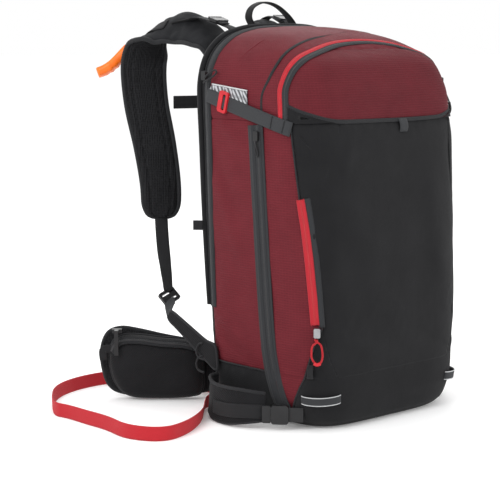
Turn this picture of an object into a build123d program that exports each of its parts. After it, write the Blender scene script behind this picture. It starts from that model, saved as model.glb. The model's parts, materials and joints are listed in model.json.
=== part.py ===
from build123d import *
import math
import os

os.makedirs("parts", exist_ok=True)

# A 32 litre ski backpack with an electric airbag, millimetres, +Z up.
# The outer face looks along -Y, the wearer's side along +Y, and the pack
# stands on its base with the origin at the middle of the base.

# ---- Driving dimensions ----
CORNER_POWER = 5.0        # squareness of the bag's plan section
OUTLINE_POINTS = 24       # spline points round one plan section
WALL = 4.0                # padded fabric wall
TRIM = 1.6                # thickness of zip tapes and webbing
SEAM_GAP = 0.4            # gap between the bag and its opening back panel
BASE_SEAM = 75.0          # height of the base panel's seam
LID_SEAM = 420.0          # height of the seam below the lid pocket
LID_PLANE = -65.0         # the lid pocket lies in front of this plane
PANEL_FOOT = 150.0        # lower end of the opening back panel
WEBBING = 20.0            # webbing width
FAR = 400.0               # longer than any section of the bag

# Bag sections: height, half width, front, back.
BAG_SECTIONS = [
    (0, 124, -116, 90),
    (12, 140, -129, 101),
    (30, 149, -134, 105),
    (60, 155, -137, 108),
    (150, 159, -138, 113),
    (280, 160, -135, 124),
    (385, 160, -130, 132),
    (440, 160, -121, 137),
    (470, 158, -112, 139),
    (498, 149, -98, 140),
    (518, 133, -65, 139),
    (535, 106, -20, 137),
    (545, 66, 30, 128),
]
HEIGHT = BAG_SECTIONS[-1][0]


def section_points(half, front, back, inset):
    """Points of one rounded plan section, drawn in by inset."""
    middle = (front + back) / 2
    a = half - inset
    c = (back - front) / 2 - inset
    points = []
    for i in range(OUTLINE_POINTS):
        t = math.tau * i / OUTLINE_POINTS
        power = abs(math.cos(t) / a) ** CORNER_POWER + abs(math.sin(t) / c) ** CORNER_POWER
        radius = power ** (-1 / CORNER_POWER)
        points.append((radius * math.cos(t), middle + radius * math.sin(t)))
    return points


def bag_form(inset):
    """The bag's outer form, drawn in by inset or let out where it is negative."""
    with BuildPart() as form:
        for height, half, front, back in BAG_SECTIONS:
            level = inset + height * (HEIGHT - 2 * inset) / HEIGHT
            with BuildSketch(Plane.XY.offset(level)):
                with BuildLine():
                    Spline(*section_points(half, front, back, inset), periodic=True)
                make_face()
        loft(ruled=True)
    return form.part


def bag_skin(outer, inner):
    """A skin between two insets of the bag's form."""
    outside = bag_form(outer)
    inside = bag_form(inner)
    with BuildPart() as skin:
        add(outside)
        add(inside, mode=Mode.SUBTRACT)
    return skin.part


def zip_line(z):
    """Y of the back panel's zip at a height."""
    return 80 + 12 * (z - BASE_SEAM) / (HEIGHT - BASE_SEAM)


def front_seam(z):
    """Y of the seam between a side panel and the front panel at a height."""
    return -80 - 0.155 * (LID_SEAM - z)


wall_skin = bag_skin(0, WALL)
trim_skin = bag_skin(-TRIM, 0)
strap_skin = bag_skin(-2 * TRIM - 0.2, -TRIM - 0.1)
inner_form = bag_form(WALL + 0.2)


def side_cut(stock, outline, x_from=-FAR, x_to=FAR):
    """The piece of stock inside a YZ outline, between two X planes."""
    with BuildPart() as piece:
        add(stock)
        with BuildSketch(Plane.YZ.offset(x_from)):
            with BuildLine():
                Polyline(*outline, close=True)
            make_face()
        extrude(amount=x_to - x_from, mode=Mode.INTERSECT)
    return piece


def ribbon_outline(route, width):
    """A YZ band of a width, along a route of (y, z) points."""
    left, right = [], []
    last = len(route) - 1
    for i, (y, z) in enumerate(route):
        y0, z0 = route[max(i - 1, 0)]
        y1, z1 = route[min(i + 1, last)]
        length = math.hypot(y1 - y0, z1 - z0)
        ny = (z1 - z0) / length * width / 2
        nz = -(y1 - y0) / length * width / 2
        left.append((y + ny, z + nz))
        right.append((y - ny, z - nz))
    return left + right[::-1]


def save(piece, name):
    piece.part.label = name
    export_step(piece.part, "parts/" + name + ".step")


# ---- Bag panels: one fabric shell, cut along its seams ----
TOP = HEIGHT + 20
FRONT_SIDE = [(-108, BASE_SEAM), (front_seam(150), 150), (front_seam(LID_SEAM), LID_SEAM)]
BACK_SIDE = [(zip_line(LID_SEAM), LID_SEAM), (zip_line(BASE_SEAM), BASE_SEAM)]
panel_low = PANEL_FOOT + SEAM_GAP

base_panel = side_cut(wall_skin, [(-FAR, 0), (FAR, 0), (FAR, BASE_SEAM), (-FAR, BASE_SEAM)])
save(base_panel, "base_panel")

front_panel = side_cut(wall_skin, [(-FAR, BASE_SEAM)] + FRONT_SIDE + [(-FAR, LID_SEAM)])
save(front_panel, "front_panel")

side_panel_left = side_cut(wall_skin, FRONT_SIDE + BACK_SIDE, -FAR, 0)
save(side_panel_left, "side_panel_left")

side_panel_right = side_cut(wall_skin, FRONT_SIDE + BACK_SIDE, 0, FAR)
save(side_panel_right, "side_panel_right")

lid_pocket = side_cut(
    wall_skin, [(-FAR, LID_SEAM), (LID_PLANE, LID_SEAM), (LID_PLANE, TOP), (-FAR, TOP)]
)
save(lid_pocket, "lid_pocket")

top_panel = side_cut(
    wall_skin,
    [(LID_PLANE, LID_SEAM), (zip_line(LID_SEAM), LID_SEAM), (zip_line(TOP), TOP), (LID_PLANE, TOP)],
)
save(top_panel, "top_panel")

lumbar_panel = side_cut(
    wall_skin,
    [(zip_line(BASE_SEAM), BASE_SEAM), (zip_line(PANEL_FOOT), PANEL_FOOT),
     (FAR, PANEL_FOOT), (FAR, BASE_SEAM)],
)
save(lumbar_panel, "lumbar_panel")

back_panel = side_cut(
    wall_skin,
    [(zip_line(panel_low) + SEAM_GAP, panel_low), (zip_line(TOP) + SEAM_GAP, TOP),
     (FAR, TOP), (FAR, panel_low)],
)
save(back_panel, "back_panel")

# ---- Inner walls ----
DIVIDER_Y = -76.0
SHEET = 2.0
divider_top = LID_SEAM - 12
pocket_divider = side_cut(
    inner_form,
    [(DIVIDER_Y - SHEET, 90), (DIVIDER_Y, 90), (DIVIDER_Y, divider_top), (DIVIDER_Y - SHEET, divider_top)],
)
save(pocket_divider, "pocket_divider")

SHELF_Z = LID_SEAM + 3
shelf_back = zip_line(SHELF_Z) - 4
airbag_shelf = side_cut(
    inner_form,
    [(DIVIDER_Y, SHELF_Z), (shelf_back, SHELF_Z), (shelf_back, SHELF_Z + SHEET), (DIVIDER_Y, SHELF_Z + SHEET)],
)
save(airbag_shelf, "airbag_shelf")

# ---- Zips and bands sewn on the fabric ----
SIDE_ZIP_ROUTE = [(-23, 415), (-31, 313), (-42, 176), (-48, 110), (-54, 78)]
side_zips = side_cut(trim_skin, ribbon_outline(SIDE_ZIP_ROUTE, 26))
save(side_zips, "side_zips")

FRONT_ZIP_ROUTE = [(front_seam(z) + 8, z) for z in (150, 230, 318)]
front_zip = side_cut(trim_skin, ribbon_outline(FRONT_ZIP_ROUTE, 11), -FAR, -60)
save(front_zip, "front_zip")

LID_ZIP_WIDTH = 16.0
lid_zip_back = LID_PLANE + 4
lid_zip_front = lid_zip_back - LID_ZIP_WIDTH
lid_zip = side_cut(
    trim_skin,
    [(lid_zip_front, LID_SEAM), (lid_zip_back, LID_SEAM), (lid_zip_back, TOP), (lid_zip_front, TOP)],
)
save(lid_zip, "lid_zip")

BACK_ZIP_WIDTH = 12.0
back_zip = side_cut(
    trim_skin,
    [(zip_line(panel_low) - BACK_ZIP_WIDTH, panel_low), (zip_line(panel_low), panel_low),
     (zip_line(TOP), TOP), (zip_line(TOP) - BACK_ZIP_WIDTH, TOP)],
)
save(back_zip, "back_zip")

# ---- Compression straps, their patches and their hook buckles ----
STRAP_ROUTE = [(64, 450), (40, 444), (-22, 428), (-84, 411)]
compression_straps = side_cut(strap_skin, ribbon_outline(STRAP_ROUTE, WEBBING))
save(compression_straps, "compression_straps")

strap_patches = side_cut(trim_skin, [(62, 468), (2, 461), (2, 436), (62, 446)])
save(strap_patches, "strap_patches")

HOOK_X = 163.7
with BuildPart() as hook_buckles:
    for sign in (-1, 1):
        hook_plane = Plane(origin=(sign * HOOK_X, 42, 444.5), x_dir=(0, -0.968, -0.25), z_dir=(sign, 0, 0))
        with BuildSketch(hook_plane):
            RectangleRounded(18, 30, 4)
            with Locations((2, 0)):
                RectangleRounded(6, 22, 1.5, mode=Mode.SUBTRACT)
        extrude(amount=3.5)
save(hook_buckles, "hook_buckles")

# ---- Tool loops and the webbing tab on the front ----
with BuildPart() as tool_loops:
    add(side_cut(strap_skin, [(-FAR, 39), (-90, 39), (-90, 50), (-FAR, 50)], -150, -98).part)
    add(side_cut(strap_skin, [(-FAR, 39), (-90, 39), (-90, 50), (-FAR, 50)], 98, 150).part)
    add(side_cut(strap_skin, [(-FAR, 404), (-90, 404), (-90, 417), (-FAR, 417)], 4, 26).part)
save(tool_loops, "tool_loops")

# ---- Lumbar pad and shoulder strap anchor wings with their gear loops ----
PAD_Y = 114.5
with BuildPart() as lumbar_pad:
    with BuildSketch(Plane.XZ.offset(-PAD_Y)):
        with Locations((0, 92)):
            RectangleRounded(184, 96, 22)
    extrude(amount=-15)
    fillet(lumbar_pad.faces().sort_by(Axis.Y)[-1].edges(), 6)
save(lumbar_pad, "lumbar_pad")

ANCHOR_OUTLINE = [(66, 64), (104, 82), (168, 121), (162, 134), (88, 102), (66, 92)]
ANCHOR_X = 158.0
with BuildPart() as anchor_wings:
    for x_from in (-ANCHOR_X - 2.5, ANCHOR_X):
        with BuildSketch(Plane.YZ.offset(x_from)):
            with BuildLine():
                Polyline(*ANCHOR_OUTLINE, close=True)
            make_face()
        extrude(amount=2.5)
save(anchor_wings, "anchor_wings")


# ---- Ski loops low on each side ----
def standing_band(route, thickness, low, high):
    """A band of fabric or webbing that stands on edge along a plan route."""
    with BuildPart() as band:
        with BuildSketch(Plane.XY.offset(low)):
            with BuildLine():
                Spline(*route)
            trace(line_width=thickness)
        extrude(amount=high - low)
    return band


LOOP_ROUTE = [(157, 66), (182, 52), (201, 14), (200, -14), (195.5, -37)]
ski_loop_left = standing_band([(-x, y) for x, y in LOOP_ROUTE], 4, 4, 54)
save(ski_loop_left, "ski_loop_left")
ski_loop_right = standing_band(LOOP_ROUTE, 4, 4, 54)
save(ski_loop_right, "ski_loop_right")


# ---- Side-release buckles: +X of the frame is the way the plug goes in ----
SOCKET_LENGTH = 24.0
SOCKET_THICKNESS = 9.0


def buckle_socket(frame):
    """The receiving half: a flat sleeve, open at -X and at both sides."""
    with BuildPart() as socket:
        with BuildSketch(frame.offset(-SOCKET_THICKNESS / 2)):
            RectangleRounded(SOCKET_LENGTH, 26, 4)
        extrude(amount=SOCKET_THICKNESS)
        with BuildSketch(frame.offset(-2.8)):
            with Locations((-3, 0)):
                Rectangle(SOCKET_LENGTH, 21.8)
        extrude(amount=5.6, mode=Mode.SUBTRACT)
        with BuildSketch(frame.offset(-2.8)):
            with Locations((-2, 0)):
                Rectangle(9, 40)
        extrude(amount=5.6, mode=Mode.SUBTRACT)
    return socket


def buckle_plug(frame):
    """The entering half: a webbing bar, a centre tongue and two arms."""
    with BuildPart() as plug:
        with BuildSketch(frame.offset(-2.3)):
            with Locations((-SOCKET_LENGTH / 2 - 6.5, 0)):
                RectangleRounded(12, 24, 2)
            with Locations((-6, 0)):
                Rectangle(16, 3.4)
            with Locations((-5, -7.4), (-5, 7.4)):
                Rectangle(18, 3)
            with Locations((-1, -8.8), (-1, 8.8)):
                RectangleRounded(6, 3.4, 1)
        extrude(amount=4.6)
    return plug


def mirrored_frame(x, y, z, dx, dy, sign):
    """A buckle frame standing on edge at (x, y, z), its plug going in along (dx, dy)."""
    return Plane(origin=(sign * x, y, z), x_dir=(sign * dx, dy, 0), z_dir=(sign * dy * -1, dx, 0))


LOOP_BUCKLE = (167, -74.3, 22)
LOOP_PULL = (-0.646, -0.763)
LOOP_TAB = 20.0
with BuildPart() as loop_buckle_sockets:
    for sign in (-1, 1):
        buckle_frame = mirrored_frame(*LOOP_BUCKLE, *LOOP_PULL, sign)
        add(buckle_socket(buckle_frame).part)
        with BuildSketch(buckle_frame.offset(-0.8)):
            with Locations((SOCKET_LENGTH / 2 + LOOP_TAB / 2, 0)):
                Rectangle(LOOP_TAB, WEBBING)
        extrude(amount=1.6)
save(loop_buckle_sockets, "loop_buckle_sockets")
loop_buckle_plug_left = buckle_plug(mirrored_frame(*LOOP_BUCKLE, *LOOP_PULL, -1))
save(loop_buckle_plug_left, "loop_buckle_plug_left")
loop_buckle_plug_right = buckle_plug(mirrored_frame(*LOOP_BUCKLE, *LOOP_PULL, 1))
save(loop_buckle_plug_right, "loop_buckle_plug_right")

# ---- Airbag system in the top of the bag ----
airbag_form = bag_form(WALL + 8)
airbag_pack = side_cut(airbag_form, [(-55, 430), (74, 430), (70, 515), (-40, 515)], -34, FAR)
save(airbag_pack, "airbag_pack")

BLOWER = (-84, 12)
BLOWER_Z = 428.0
with BuildPart() as blower_housing:
    with BuildSketch(Plane.XY.offset(BLOWER_Z)):
        with Locations(BLOWER):
            Circle(40)
    extrude(amount=44)
    with BuildSketch(Plane.XY.offset(BLOWER_Z + 3)):
        with Locations(BLOWER):
            Circle(36)
            Circle(9, mode=Mode.SUBTRACT)
    extrude(amount=60, mode=Mode.SUBTRACT)
    with BuildSketch(Plane.XY.offset(BLOWER_Z + 12)):
        with Locations(BLOWER):
            Circle(10)
    extrude(amount=60, mode=Mode.SUBTRACT)
save(blower_housing, "blower_housing")

BLADES = 9
with BuildPart() as blower_impeller:
    with BuildSketch(Plane.XY.offset(BLOWER_Z + 13)):
        with Locations(BLOWER):
            Circle(11)
            with PolarLocations(21, BLADES):
                Rectangle(24, 2)
    extrude(amount=24)
save(blower_impeller, "blower_impeller")

with BuildPart() as power_pack:
    with BuildSketch(Plane.XY.offset(BLOWER_Z)):
        with Locations((-80, -47)):
            RectangleRounded(84, 24, 4)
    extrude(amount=42)
save(power_pack, "power_pack")

# ---- Back panel: frame, foam and yoke follow its curve ----
frame_skin = bag_skin(WALL + 0.2, WALL + 2.2)
framesheet = side_cut(frame_skin, [(104, 172), (FAR, 172), (FAR, 505), (104, 505)], -112, 112)
save(framesheet, "framesheet")

stay_skin = bag_skin(WALL + 2.4, WALL + 5.4)
STAY_OUTLINE = [(98, 180), (FAR, 180), (FAR, 495), (98, 495)]
with BuildPart() as frame_stays:
    add(side_cut(stay_skin, STAY_OUTLINE, -72, -60).part)
    add(side_cut(stay_skin, STAY_OUTLINE, 60, 72).part)
save(frame_stays, "frame_stays")

foam_skin = bag_skin(-14, -0.2)
back_foam = side_cut(foam_skin, [(113, 172), (FAR, 172), (FAR, 466), (113, 466)], -112, 112)
save(back_foam, "back_foam")

yoke_skin = bag_skin(-7, -0.2)
harness_yoke = side_cut(yoke_skin, [(118, 470), (FAR, 470), (FAR, 512), (118, 512)], -104, 104)
save(harness_yoke, "harness_yoke")


# ---- Shoulder straps ----
def strap_loft(stations, width, thickness):
    """A flat strap of flat facets through stations of (centre, direction across the strap)."""
    rings = []
    last = len(stations) - 1
    for i, (centre, across) in enumerate(stations):
        before = Vector(*stations[max(i - 1, 0)][0])
        after = Vector(*stations[min(i + 1, last)][0])
        along = (after - before).normalized()
        side = Vector(*across)
        side = (side - along * side.dot(along)).normalized()
        up = along.cross(side)
        middle = Vector(*centre)
        corners = ((-1, -1), (1, -1), (1, 1), (-1, 1))
        rings.append([middle + side * (u * width / 2) + up * (v * thickness / 2) for u, v in corners])
    triangles = [(rings[0][0], rings[0][1], rings[0][2]), (rings[0][0], rings[0][2], rings[0][3])]
    triangles += [(rings[-1][2], rings[-1][1], rings[-1][0]), (rings[-1][3], rings[-1][2], rings[-1][0])]
    for low, high in zip(rings, rings[1:]):
        for k in range(4):
            j = (k + 1) % 4
            triangles.append((low[k], high[k], low[j]))
            triangles.append((low[j], high[k], high[j]))
    faces = [Face(Wire.make_polygon(corners, close=True)) for corners in triangles]
    with BuildPart() as strap:
        add(Solid(Shell(faces)))
    return strap


def mirrored(piece):
    """The same piece on the pack's other side."""
    with BuildPart() as other:
        add(mirror(piece.part, about=Plane.YZ))
    return other


LEFT_STRAP = [
    ((-58, 153.8, 492), (-1, 0, 0)),
    ((-66, 170, 524), (-0.95, 0, -0.3)),
    ((-74, 195, 538), (-0.8, 0, -0.6)),
    ((-80, 233, 546), (-0.6, 0.1, -0.79)),
    ((-86, 268, 542), (-0.73, -0.4, -0.55)),
    ((-90, 285, 532), (-0.97, -0.1, 0.1)),
    ((-94, 296, 512), (-0.85, 0.42, 0.3)),
    ((-98, 299, 480), (-0.73, 0.68, 0)),
    ((-98, 288, 430), (-0.73, 0.68, 0)),
    ((-95, 274, 370), (-0.73, 0.68, 0)),
    ((-92, 266, 310), (-0.73, 0.68, 0)),
    ((-92, 266, 262), (-0.73, 0.68, 0)),
]
# The right strap hangs closer to the pack; its stations are given mirrored.
RIGHT_STRAP = [
    ((-58, 153.8, 492), (-1, 0, 0)),
    ((-64, 166, 524), (-0.95, 0, -0.3)),
    ((-70, 186, 544), (-0.95, -0.05, -0.2)),
    ((-77, 212, 550), (-0.96, -0.2, -0.1)),
    ((-84, 236, 536), (-0.97, -0.05, 0.2)),
    ((-90, 249, 500), (-0.9, 0.38, 0.17)),
    ((-93, 252, 455), (-0.73, 0.68, 0)),
    ((-93, 250, 400), (-0.73, 0.68, 0)),
    ((-92, 249, 330), (-0.73, 0.68, 0)),
    ((-92, 252, 262), (-0.73, 0.68, 0)),
]
STRAP_WIDTH = 64.0
STRAP_THICKNESS = 11.0
shoulder_strap_left = strap_loft(LEFT_STRAP, STRAP_WIDTH, STRAP_THICKNESS)
save(shoulder_strap_left, "shoulder_strap_left")
shoulder_strap_right = mirrored(strap_loft(RIGHT_STRAP, STRAP_WIDTH, STRAP_THICKNESS))
save(shoulder_strap_right, "shoulder_strap_right")

LEFT_WEB = [
    ((-93, 265, 260), (-0.73, 0.68, 0)),
    ((-105, 246, 216), (-0.8, 0.5, 0)),
    ((-120, 221, 182), (-0.9, 0.2, 0.2)),
    ((-129, 207, 162), (-0.9, 0, 0.3)),
]
RIGHT_WEB = [
    ((-93, 251, 260), (-0.73, 0.68, 0)),
    ((-105, 238, 216), (-0.8, 0.5, 0)),
    ((-120, 218, 182), (-0.9, 0.2, 0.2)),
    ((-129, 207, 162), (-0.9, 0, 0.3)),
]
with BuildPart() as strap_webbing:
    add(strap_loft(LEFT_WEB, WEBBING, 2).part)
    add(mirrored(strap_loft(RIGHT_WEB, WEBBING, 2)).part)
save(strap_webbing, "strap_webbing")

with BuildPart() as ladder_locks:
    for sign in (-1, 1):
        lock_plane = Plane(origin=(sign * 133, 199, 149), x_dir=(sign * -0.9, 0, 0.3), z_dir=(sign * -0.3, 0.75, -0.6))
        with BuildSketch(lock_plane):
            RectangleRounded(28, 22, 3)
            with Locations((0, 5)):
                Rectangle(21, 3, mode=Mode.SUBTRACT)
            with Locations((0, -5)):
                Rectangle(21, 3, mode=Mode.SUBTRACT)
        extrude(amount=2.5, both=True)
save(ladder_locks, "ladder_locks")

LOWER_WEB = [
    ((-140, 187, 139), (-0.8, 0, 0.5)),
    ((-149, 179, 134), (-0.6, 0, 0.7)),
    ((-158, 171, 129), (-0.3, 0, 0.9)),
]
lower_web = strap_loft(LOWER_WEB, WEBBING * 0.8, 2)
with BuildPart() as lower_webbing:
    add(lower_web.part)
    add(mirrored(lower_web).part)
save(lower_webbing, "lower_webbing")

LEFT_LIFTER = [
    ((-62, 139, 546), (-1, 0, 0)),
    ((-74, 194, 561), (-1, 0, 0)),
]
RIGHT_LIFTER = [
    ((-60, 139, 546), (-1, 0, 0)),
    ((-70, 186, 563), (-1, 0, 0)),
]
with BuildPart() as load_lifters:
    add(strap_loft(LEFT_LIFTER, WEBBING, 2).part)
    add(mirrored(strap_loft(RIGHT_LIFTER, WEBBING, 2)).part)
save(load_lifters, "load_lifters")

with BuildPart() as lifter_buckles:
    for x, y, z in ((-67, 162, 557), (65, 162, 560)):
        with BuildSketch(Plane(origin=(x, y, z), x_dir=(1, 0, 0), z_dir=(0, -0.3, 0.95))):
            RectangleRounded(26, 20, 3)
            with Locations((0, 5)):
                Rectangle(20, 3, mode=Mode.SUBTRACT)
        extrude(amount=4)
save(lifter_buckles, "lifter_buckles")

# ---- Sternum strap ----
STERNUM_Z = 434.0
STERNUM_ALONG = Vector(-0.972, 0.236, 0)
STERNUM_MID = Vector(0, 252, STERNUM_Z)
sternum_frame = Plane(origin=STERNUM_MID, x_dir=STERNUM_ALONG, z_dir=(0.236, 0.972, 0))


def sternum_web(start, end, lift):
    """A length of webbing along the sternum frame, lifted off its middle plane."""
    with BuildPart() as web:
        with BuildSketch(sternum_frame.offset(lift)):
            with Locations(((start + end) / 2, 0)):
                Rectangle(end - start, WEBBING)
        extrude(amount=1.6)
    return web


with BuildPart() as sternum_webbing:
    add(sternum_web(SOCKET_LENGTH / 2, 66, -0.8).part)
    add(sternum_web(-66, -14, 5.2).part)
save(sternum_webbing, "sternum_webbing")
sternum_buckle_socket = buckle_socket(sternum_frame)
save(sternum_buckle_socket, "sternum_buckle_socket")
sternum_buckle_plug = buckle_plug(sternum_frame)
save(sternum_buckle_plug, "sternum_buckle_plug")

# ---- Haul loop ----
HAUL_ROUTE = [(-22, 547), (-38, 560), (-30, 578), (-2, 583), (32, 571), (56, 547)]
with BuildPart() as haul_loop:
    with BuildSketch(Plane.XZ.offset(-118)):
        with BuildLine():
            Spline(*HAUL_ROUTE)
        trace(line_width=3)
    extrude(amount=-18)
save(haul_loop, "haul_loop")

# ---- Airbag trigger handle beside the left shoulder strap ----
TRIGGER_FRAME = Plane(origin=(-118, 350, 492), x_dir=(-0.6, 0.8, 0), z_dir=(-0.3, 0.55, -0.78))
with BuildPart() as trigger_handle:
    with BuildSketch(TRIGGER_FRAME.offset(-26)):
        RectangleRounded(14, 10, 4)
    extrude(amount=30)
    with BuildSketch(TRIGGER_FRAME):
        with Locations((8, 0)):
            RectangleRounded(36, 14, 6)
    extrude(amount=18)
save(trigger_handle, "trigger_handle")

# ---- Hip wings: each stands in its own frame, x along the wing, y up ----
WING_ROOT = (108, 147.4)
WING_ALONG = (0.731, 0.682)
PAD_THICKNESS = 12.0
WING_DROP = 10.0
POCKET_THICKNESS = 26.0
PAD_OUTLINE = [(-14, 30), (-14, 84), (20, 96), (60, 106), (125, 118), (150, 100), (154, 60), (140, 24), (100, 16), (20, 18)]
POCKET_OUTLINE = [(2, 22), (16, 14), (112, 14), (134, 30), (142, 66), (136, 98), (112, 110), (60, 108), (2, 98)]


def wing_frame(sign, lift):
    """The wing's upright plane, lifted off its middle towards the outer side."""
    x, y = WING_ROOT
    ax, ay = WING_ALONG
    origin = (sign * (x + ay * lift), y - ax * lift, 0)
    return Plane(origin=origin, x_dir=(sign * ax, ay, 0), z_dir=(sign * ay, -ax, 0))


def upright_slab(frame, outline, thickness, sign):
    """An outline of (along, height) points in a wing frame, made thick outwards."""
    with BuildPart() as slab:
        with BuildSketch(frame):
            with BuildLine():
                Polyline(*[(s, sign * (h - WING_DROP)) for s, h in outline], close=True)
            make_face()
        extrude(amount=thickness)
    return slab.part


def hip_pocket(sign):
    """A pouch with a slot along its top for the zip."""
    wall = 2.5
    centre_s, centre_h = 72, 62
    inner = [
        (centre_s + (s - centre_s) * 0.95, centre_h + (h - centre_h) * 0.93) for s, h in POCKET_OUTLINE
    ]
    outside = upright_slab(wing_frame(sign, PAD_THICKNESS / 2 + 0.2), POCKET_OUTLINE, POCKET_THICKNESS, sign)
    inside = upright_slab(
        wing_frame(sign, PAD_THICKNESS / 2 + 0.2 + wall), inner, POCKET_THICKNESS - 2 * wall, sign
    )
    slot_outline = [(20, 80), (122, 80), (122, 130), (20, 130)]
    slot = upright_slab(wing_frame(sign, PAD_THICKNESS / 2 + POCKET_THICKNESS / 2 - 3), slot_outline, 6, sign)
    with BuildPart() as pocket:
        add(outside)
        add(inside, mode=Mode.SUBTRACT)
        add(slot, mode=Mode.SUBTRACT)
    return pocket


def hip_slider(sign):
    """The zip slider on top of the pocket with its pull over the outer face."""
    pull_face = PAD_THICKNESS / 2 + 0.2 + POCKET_THICKNESS + 1.5
    zip_face = PAD_THICKNESS / 2 + POCKET_THICKNESS / 2 - 4
    body = upright_slab(wing_frame(sign, zip_face), [(122, 111), (136, 111), (136, 117), (122, 117)], 8, sign)
    bridge = upright_slab(
        wing_frame(sign, zip_face), [(126, 115), (132, 115), (132, 117), (126, 117)], pull_face - zip_face + 2, sign
    )
    pull = upright_slab(wing_frame(sign, pull_face), [(126, 80), (132, 80), (132, 117), (126, 117)], 2, sign)
    with BuildPart() as slider:
        add(body)
        add(bridge)
        add(pull)
    return slider


def hip_belt(sign):
    """The belt webbing folded back along the inner face, with its buckle half."""
    web = upright_slab(wing_frame(sign, -PAD_THICKNESS / 2 - 2.2), [(50, 52), (146, 52), (146, 90), (50, 90)], 2, sign)
    buckle = upright_slab(
        wing_frame(sign, -PAD_THICKNESS / 2 - 12.5), [(48, 50), (84, 50), (84, 92), (48, 92)], 10, sign
    )
    with BuildPart() as belt:
        add(web)
        add(buckle)
    return belt


for side, sign in (("left", -1), ("right", 1)):
    with BuildPart() as hip_wing:
        add(upright_slab(wing_frame(sign, -PAD_THICKNESS / 2), PAD_OUTLINE, PAD_THICKNESS, sign))
    save(hip_wing, "hip_wing_" + side)
    save(hip_pocket(sign), "hip_pocket_" + side)
    save(hip_slider(sign), "hip_zip_slider_" + side)
    save(hip_belt(sign), "hip_belt_" + side)


# ---- Zip sliders: each stands clear of the tape that it runs on ----
def zip_slider(frame, pull_length):
    """A slider block with a cord pull below it; -Y of the frame is down."""
    with BuildPart() as slider:
        with BuildSketch(frame):
            RectangleRounded(9, 13, 2)
        extrude(amount=5)
        if pull_length:
            with BuildSketch(frame.offset(1.5)):
                with Locations((0, -6 - pull_length / 2)):
                    RectangleRounded(10, pull_length, 4.9)
                    RectangleRounded(6, pull_length - 4, 2.9, mode=Mode.SUBTRACT)
            extrude(amount=2.5)
    return slider


for side, sign in (("left", -1), ("right", 1)):
    side_frame = Plane(origin=(sign * 162.3, -24.5, 400), x_dir=(0, sign, 0), z_dir=(sign, 0, 0))
    save(zip_slider(side_frame, 0), "side_zip_slider_" + side)

back_slider_frame = Plane(origin=(-162.3, 82, 480), x_dir=(0, -1, 0), z_dir=(-1, 0, 0))
save(zip_slider(back_slider_frame, 0), "back_zip_slider_left")

lid_slider_frame = Plane(origin=(164.6, -67, 468), x_dir=(0, 1, 0), z_dir=(1, 0, 0))
save(zip_slider(lid_slider_frame, 36), "lid_zip_slider")

CORNER_OUT = (-0.731, -0.682, 0)
front_slider_frame = Plane(origin=(-144, -122, 139), x_dir=(0.682, -0.731, 0), z_dir=CORNER_OUT)
save(zip_slider(front_slider_frame, 0), "front_zip_slider")
pull_frame = Plane(origin=(-146.2, -124, 112), x_dir=(0.682, -0.731, 0), z_dir=CORNER_OUT)
with BuildPart() as front_zip_pull:
    with BuildSketch(pull_frame):
        RectangleRounded(15, 38, 7.4)
        RectangleRounded(10, 33, 4.9, mode=Mode.SUBTRACT)
    extrude(amount=2.8)
save(front_zip_pull, "front_zip_pull")

# ---- Leg strap: webbing standing on edge along the floor ----
LEG_ROUTE = [
    (-112, 101), (-150, 97), (-180, 68), (-216, 30), (-273, -6), (-325, -18), (-352, 30), (-339, 86), (-340, 132),
    (-338, 178), (-345, 205), (-300, 268), (-262, 300), (-214, 318), (-156, 320), (-112, 290),
    (-92, 230), (-86, 170), (-80, 104),
]
LEG_THICKNESS = 1.6


def arc_radii(route):
    """The largest arcs that each corner's two runs allow."""
    radii = []
    for before, corner, after in zip(route, route[1:], route[2:]):
        run_in = Vector(*corner) - Vector(*before)
        run_out = Vector(*after) - Vector(*corner)
        turn = math.radians(run_in.get_angle(run_out))
        radii.append(0.45 * min(run_in.length, run_out.length) / math.tan(turn / 2))
    return radii


leg_radii = arc_radii(LEG_ROUTE)
print("leg strap radii", [round(r) for r in leg_radii])
with BuildPart() as leg_strap:
    with BuildSketch():
        with BuildLine() as leg_line:
            FilletPolyline(*LEG_ROUTE, radius=leg_radii)
        trace(line_width=LEG_THICKNESS)
    extrude(amount=WEBBING)
leg_length = sum(edge.length for edge in leg_line.line.edges())
leg_section = WEBBING * LEG_THICKNESS
print("leg strap length", round(leg_length), "volume ratio", leg_strap.part.volume / (leg_length * leg_section))
save(leg_strap, "leg_strap")
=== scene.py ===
import json
import math
import bpy
import bmesh
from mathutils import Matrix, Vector, noise
from mathutils.bvhtree import BVHTree


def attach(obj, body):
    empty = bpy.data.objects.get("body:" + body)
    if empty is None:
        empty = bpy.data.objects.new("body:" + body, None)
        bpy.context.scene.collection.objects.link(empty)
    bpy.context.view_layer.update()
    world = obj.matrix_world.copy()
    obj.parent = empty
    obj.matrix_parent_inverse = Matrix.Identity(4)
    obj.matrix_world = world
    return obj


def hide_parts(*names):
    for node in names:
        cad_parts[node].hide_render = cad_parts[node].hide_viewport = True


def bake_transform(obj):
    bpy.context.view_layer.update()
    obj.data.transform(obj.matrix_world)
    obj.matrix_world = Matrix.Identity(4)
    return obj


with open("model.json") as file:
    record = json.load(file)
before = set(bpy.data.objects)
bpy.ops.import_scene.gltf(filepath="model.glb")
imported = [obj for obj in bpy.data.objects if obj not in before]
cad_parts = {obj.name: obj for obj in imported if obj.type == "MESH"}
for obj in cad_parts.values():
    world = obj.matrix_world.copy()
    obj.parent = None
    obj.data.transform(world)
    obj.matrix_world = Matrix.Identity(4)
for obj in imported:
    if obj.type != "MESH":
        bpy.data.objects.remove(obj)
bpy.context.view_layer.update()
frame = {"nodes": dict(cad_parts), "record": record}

# ---------------------------------------------------------------- camera
camera_data = bpy.data.cameras.new("camera")
camera_data.lens = 115.2
camera_data.sensor_width = 36
camera = bpy.data.objects.new("camera", camera_data)
bpy.context.scene.collection.objects.link(camera)
camera.location = (-1.655, -1.61, 0.539)
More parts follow.
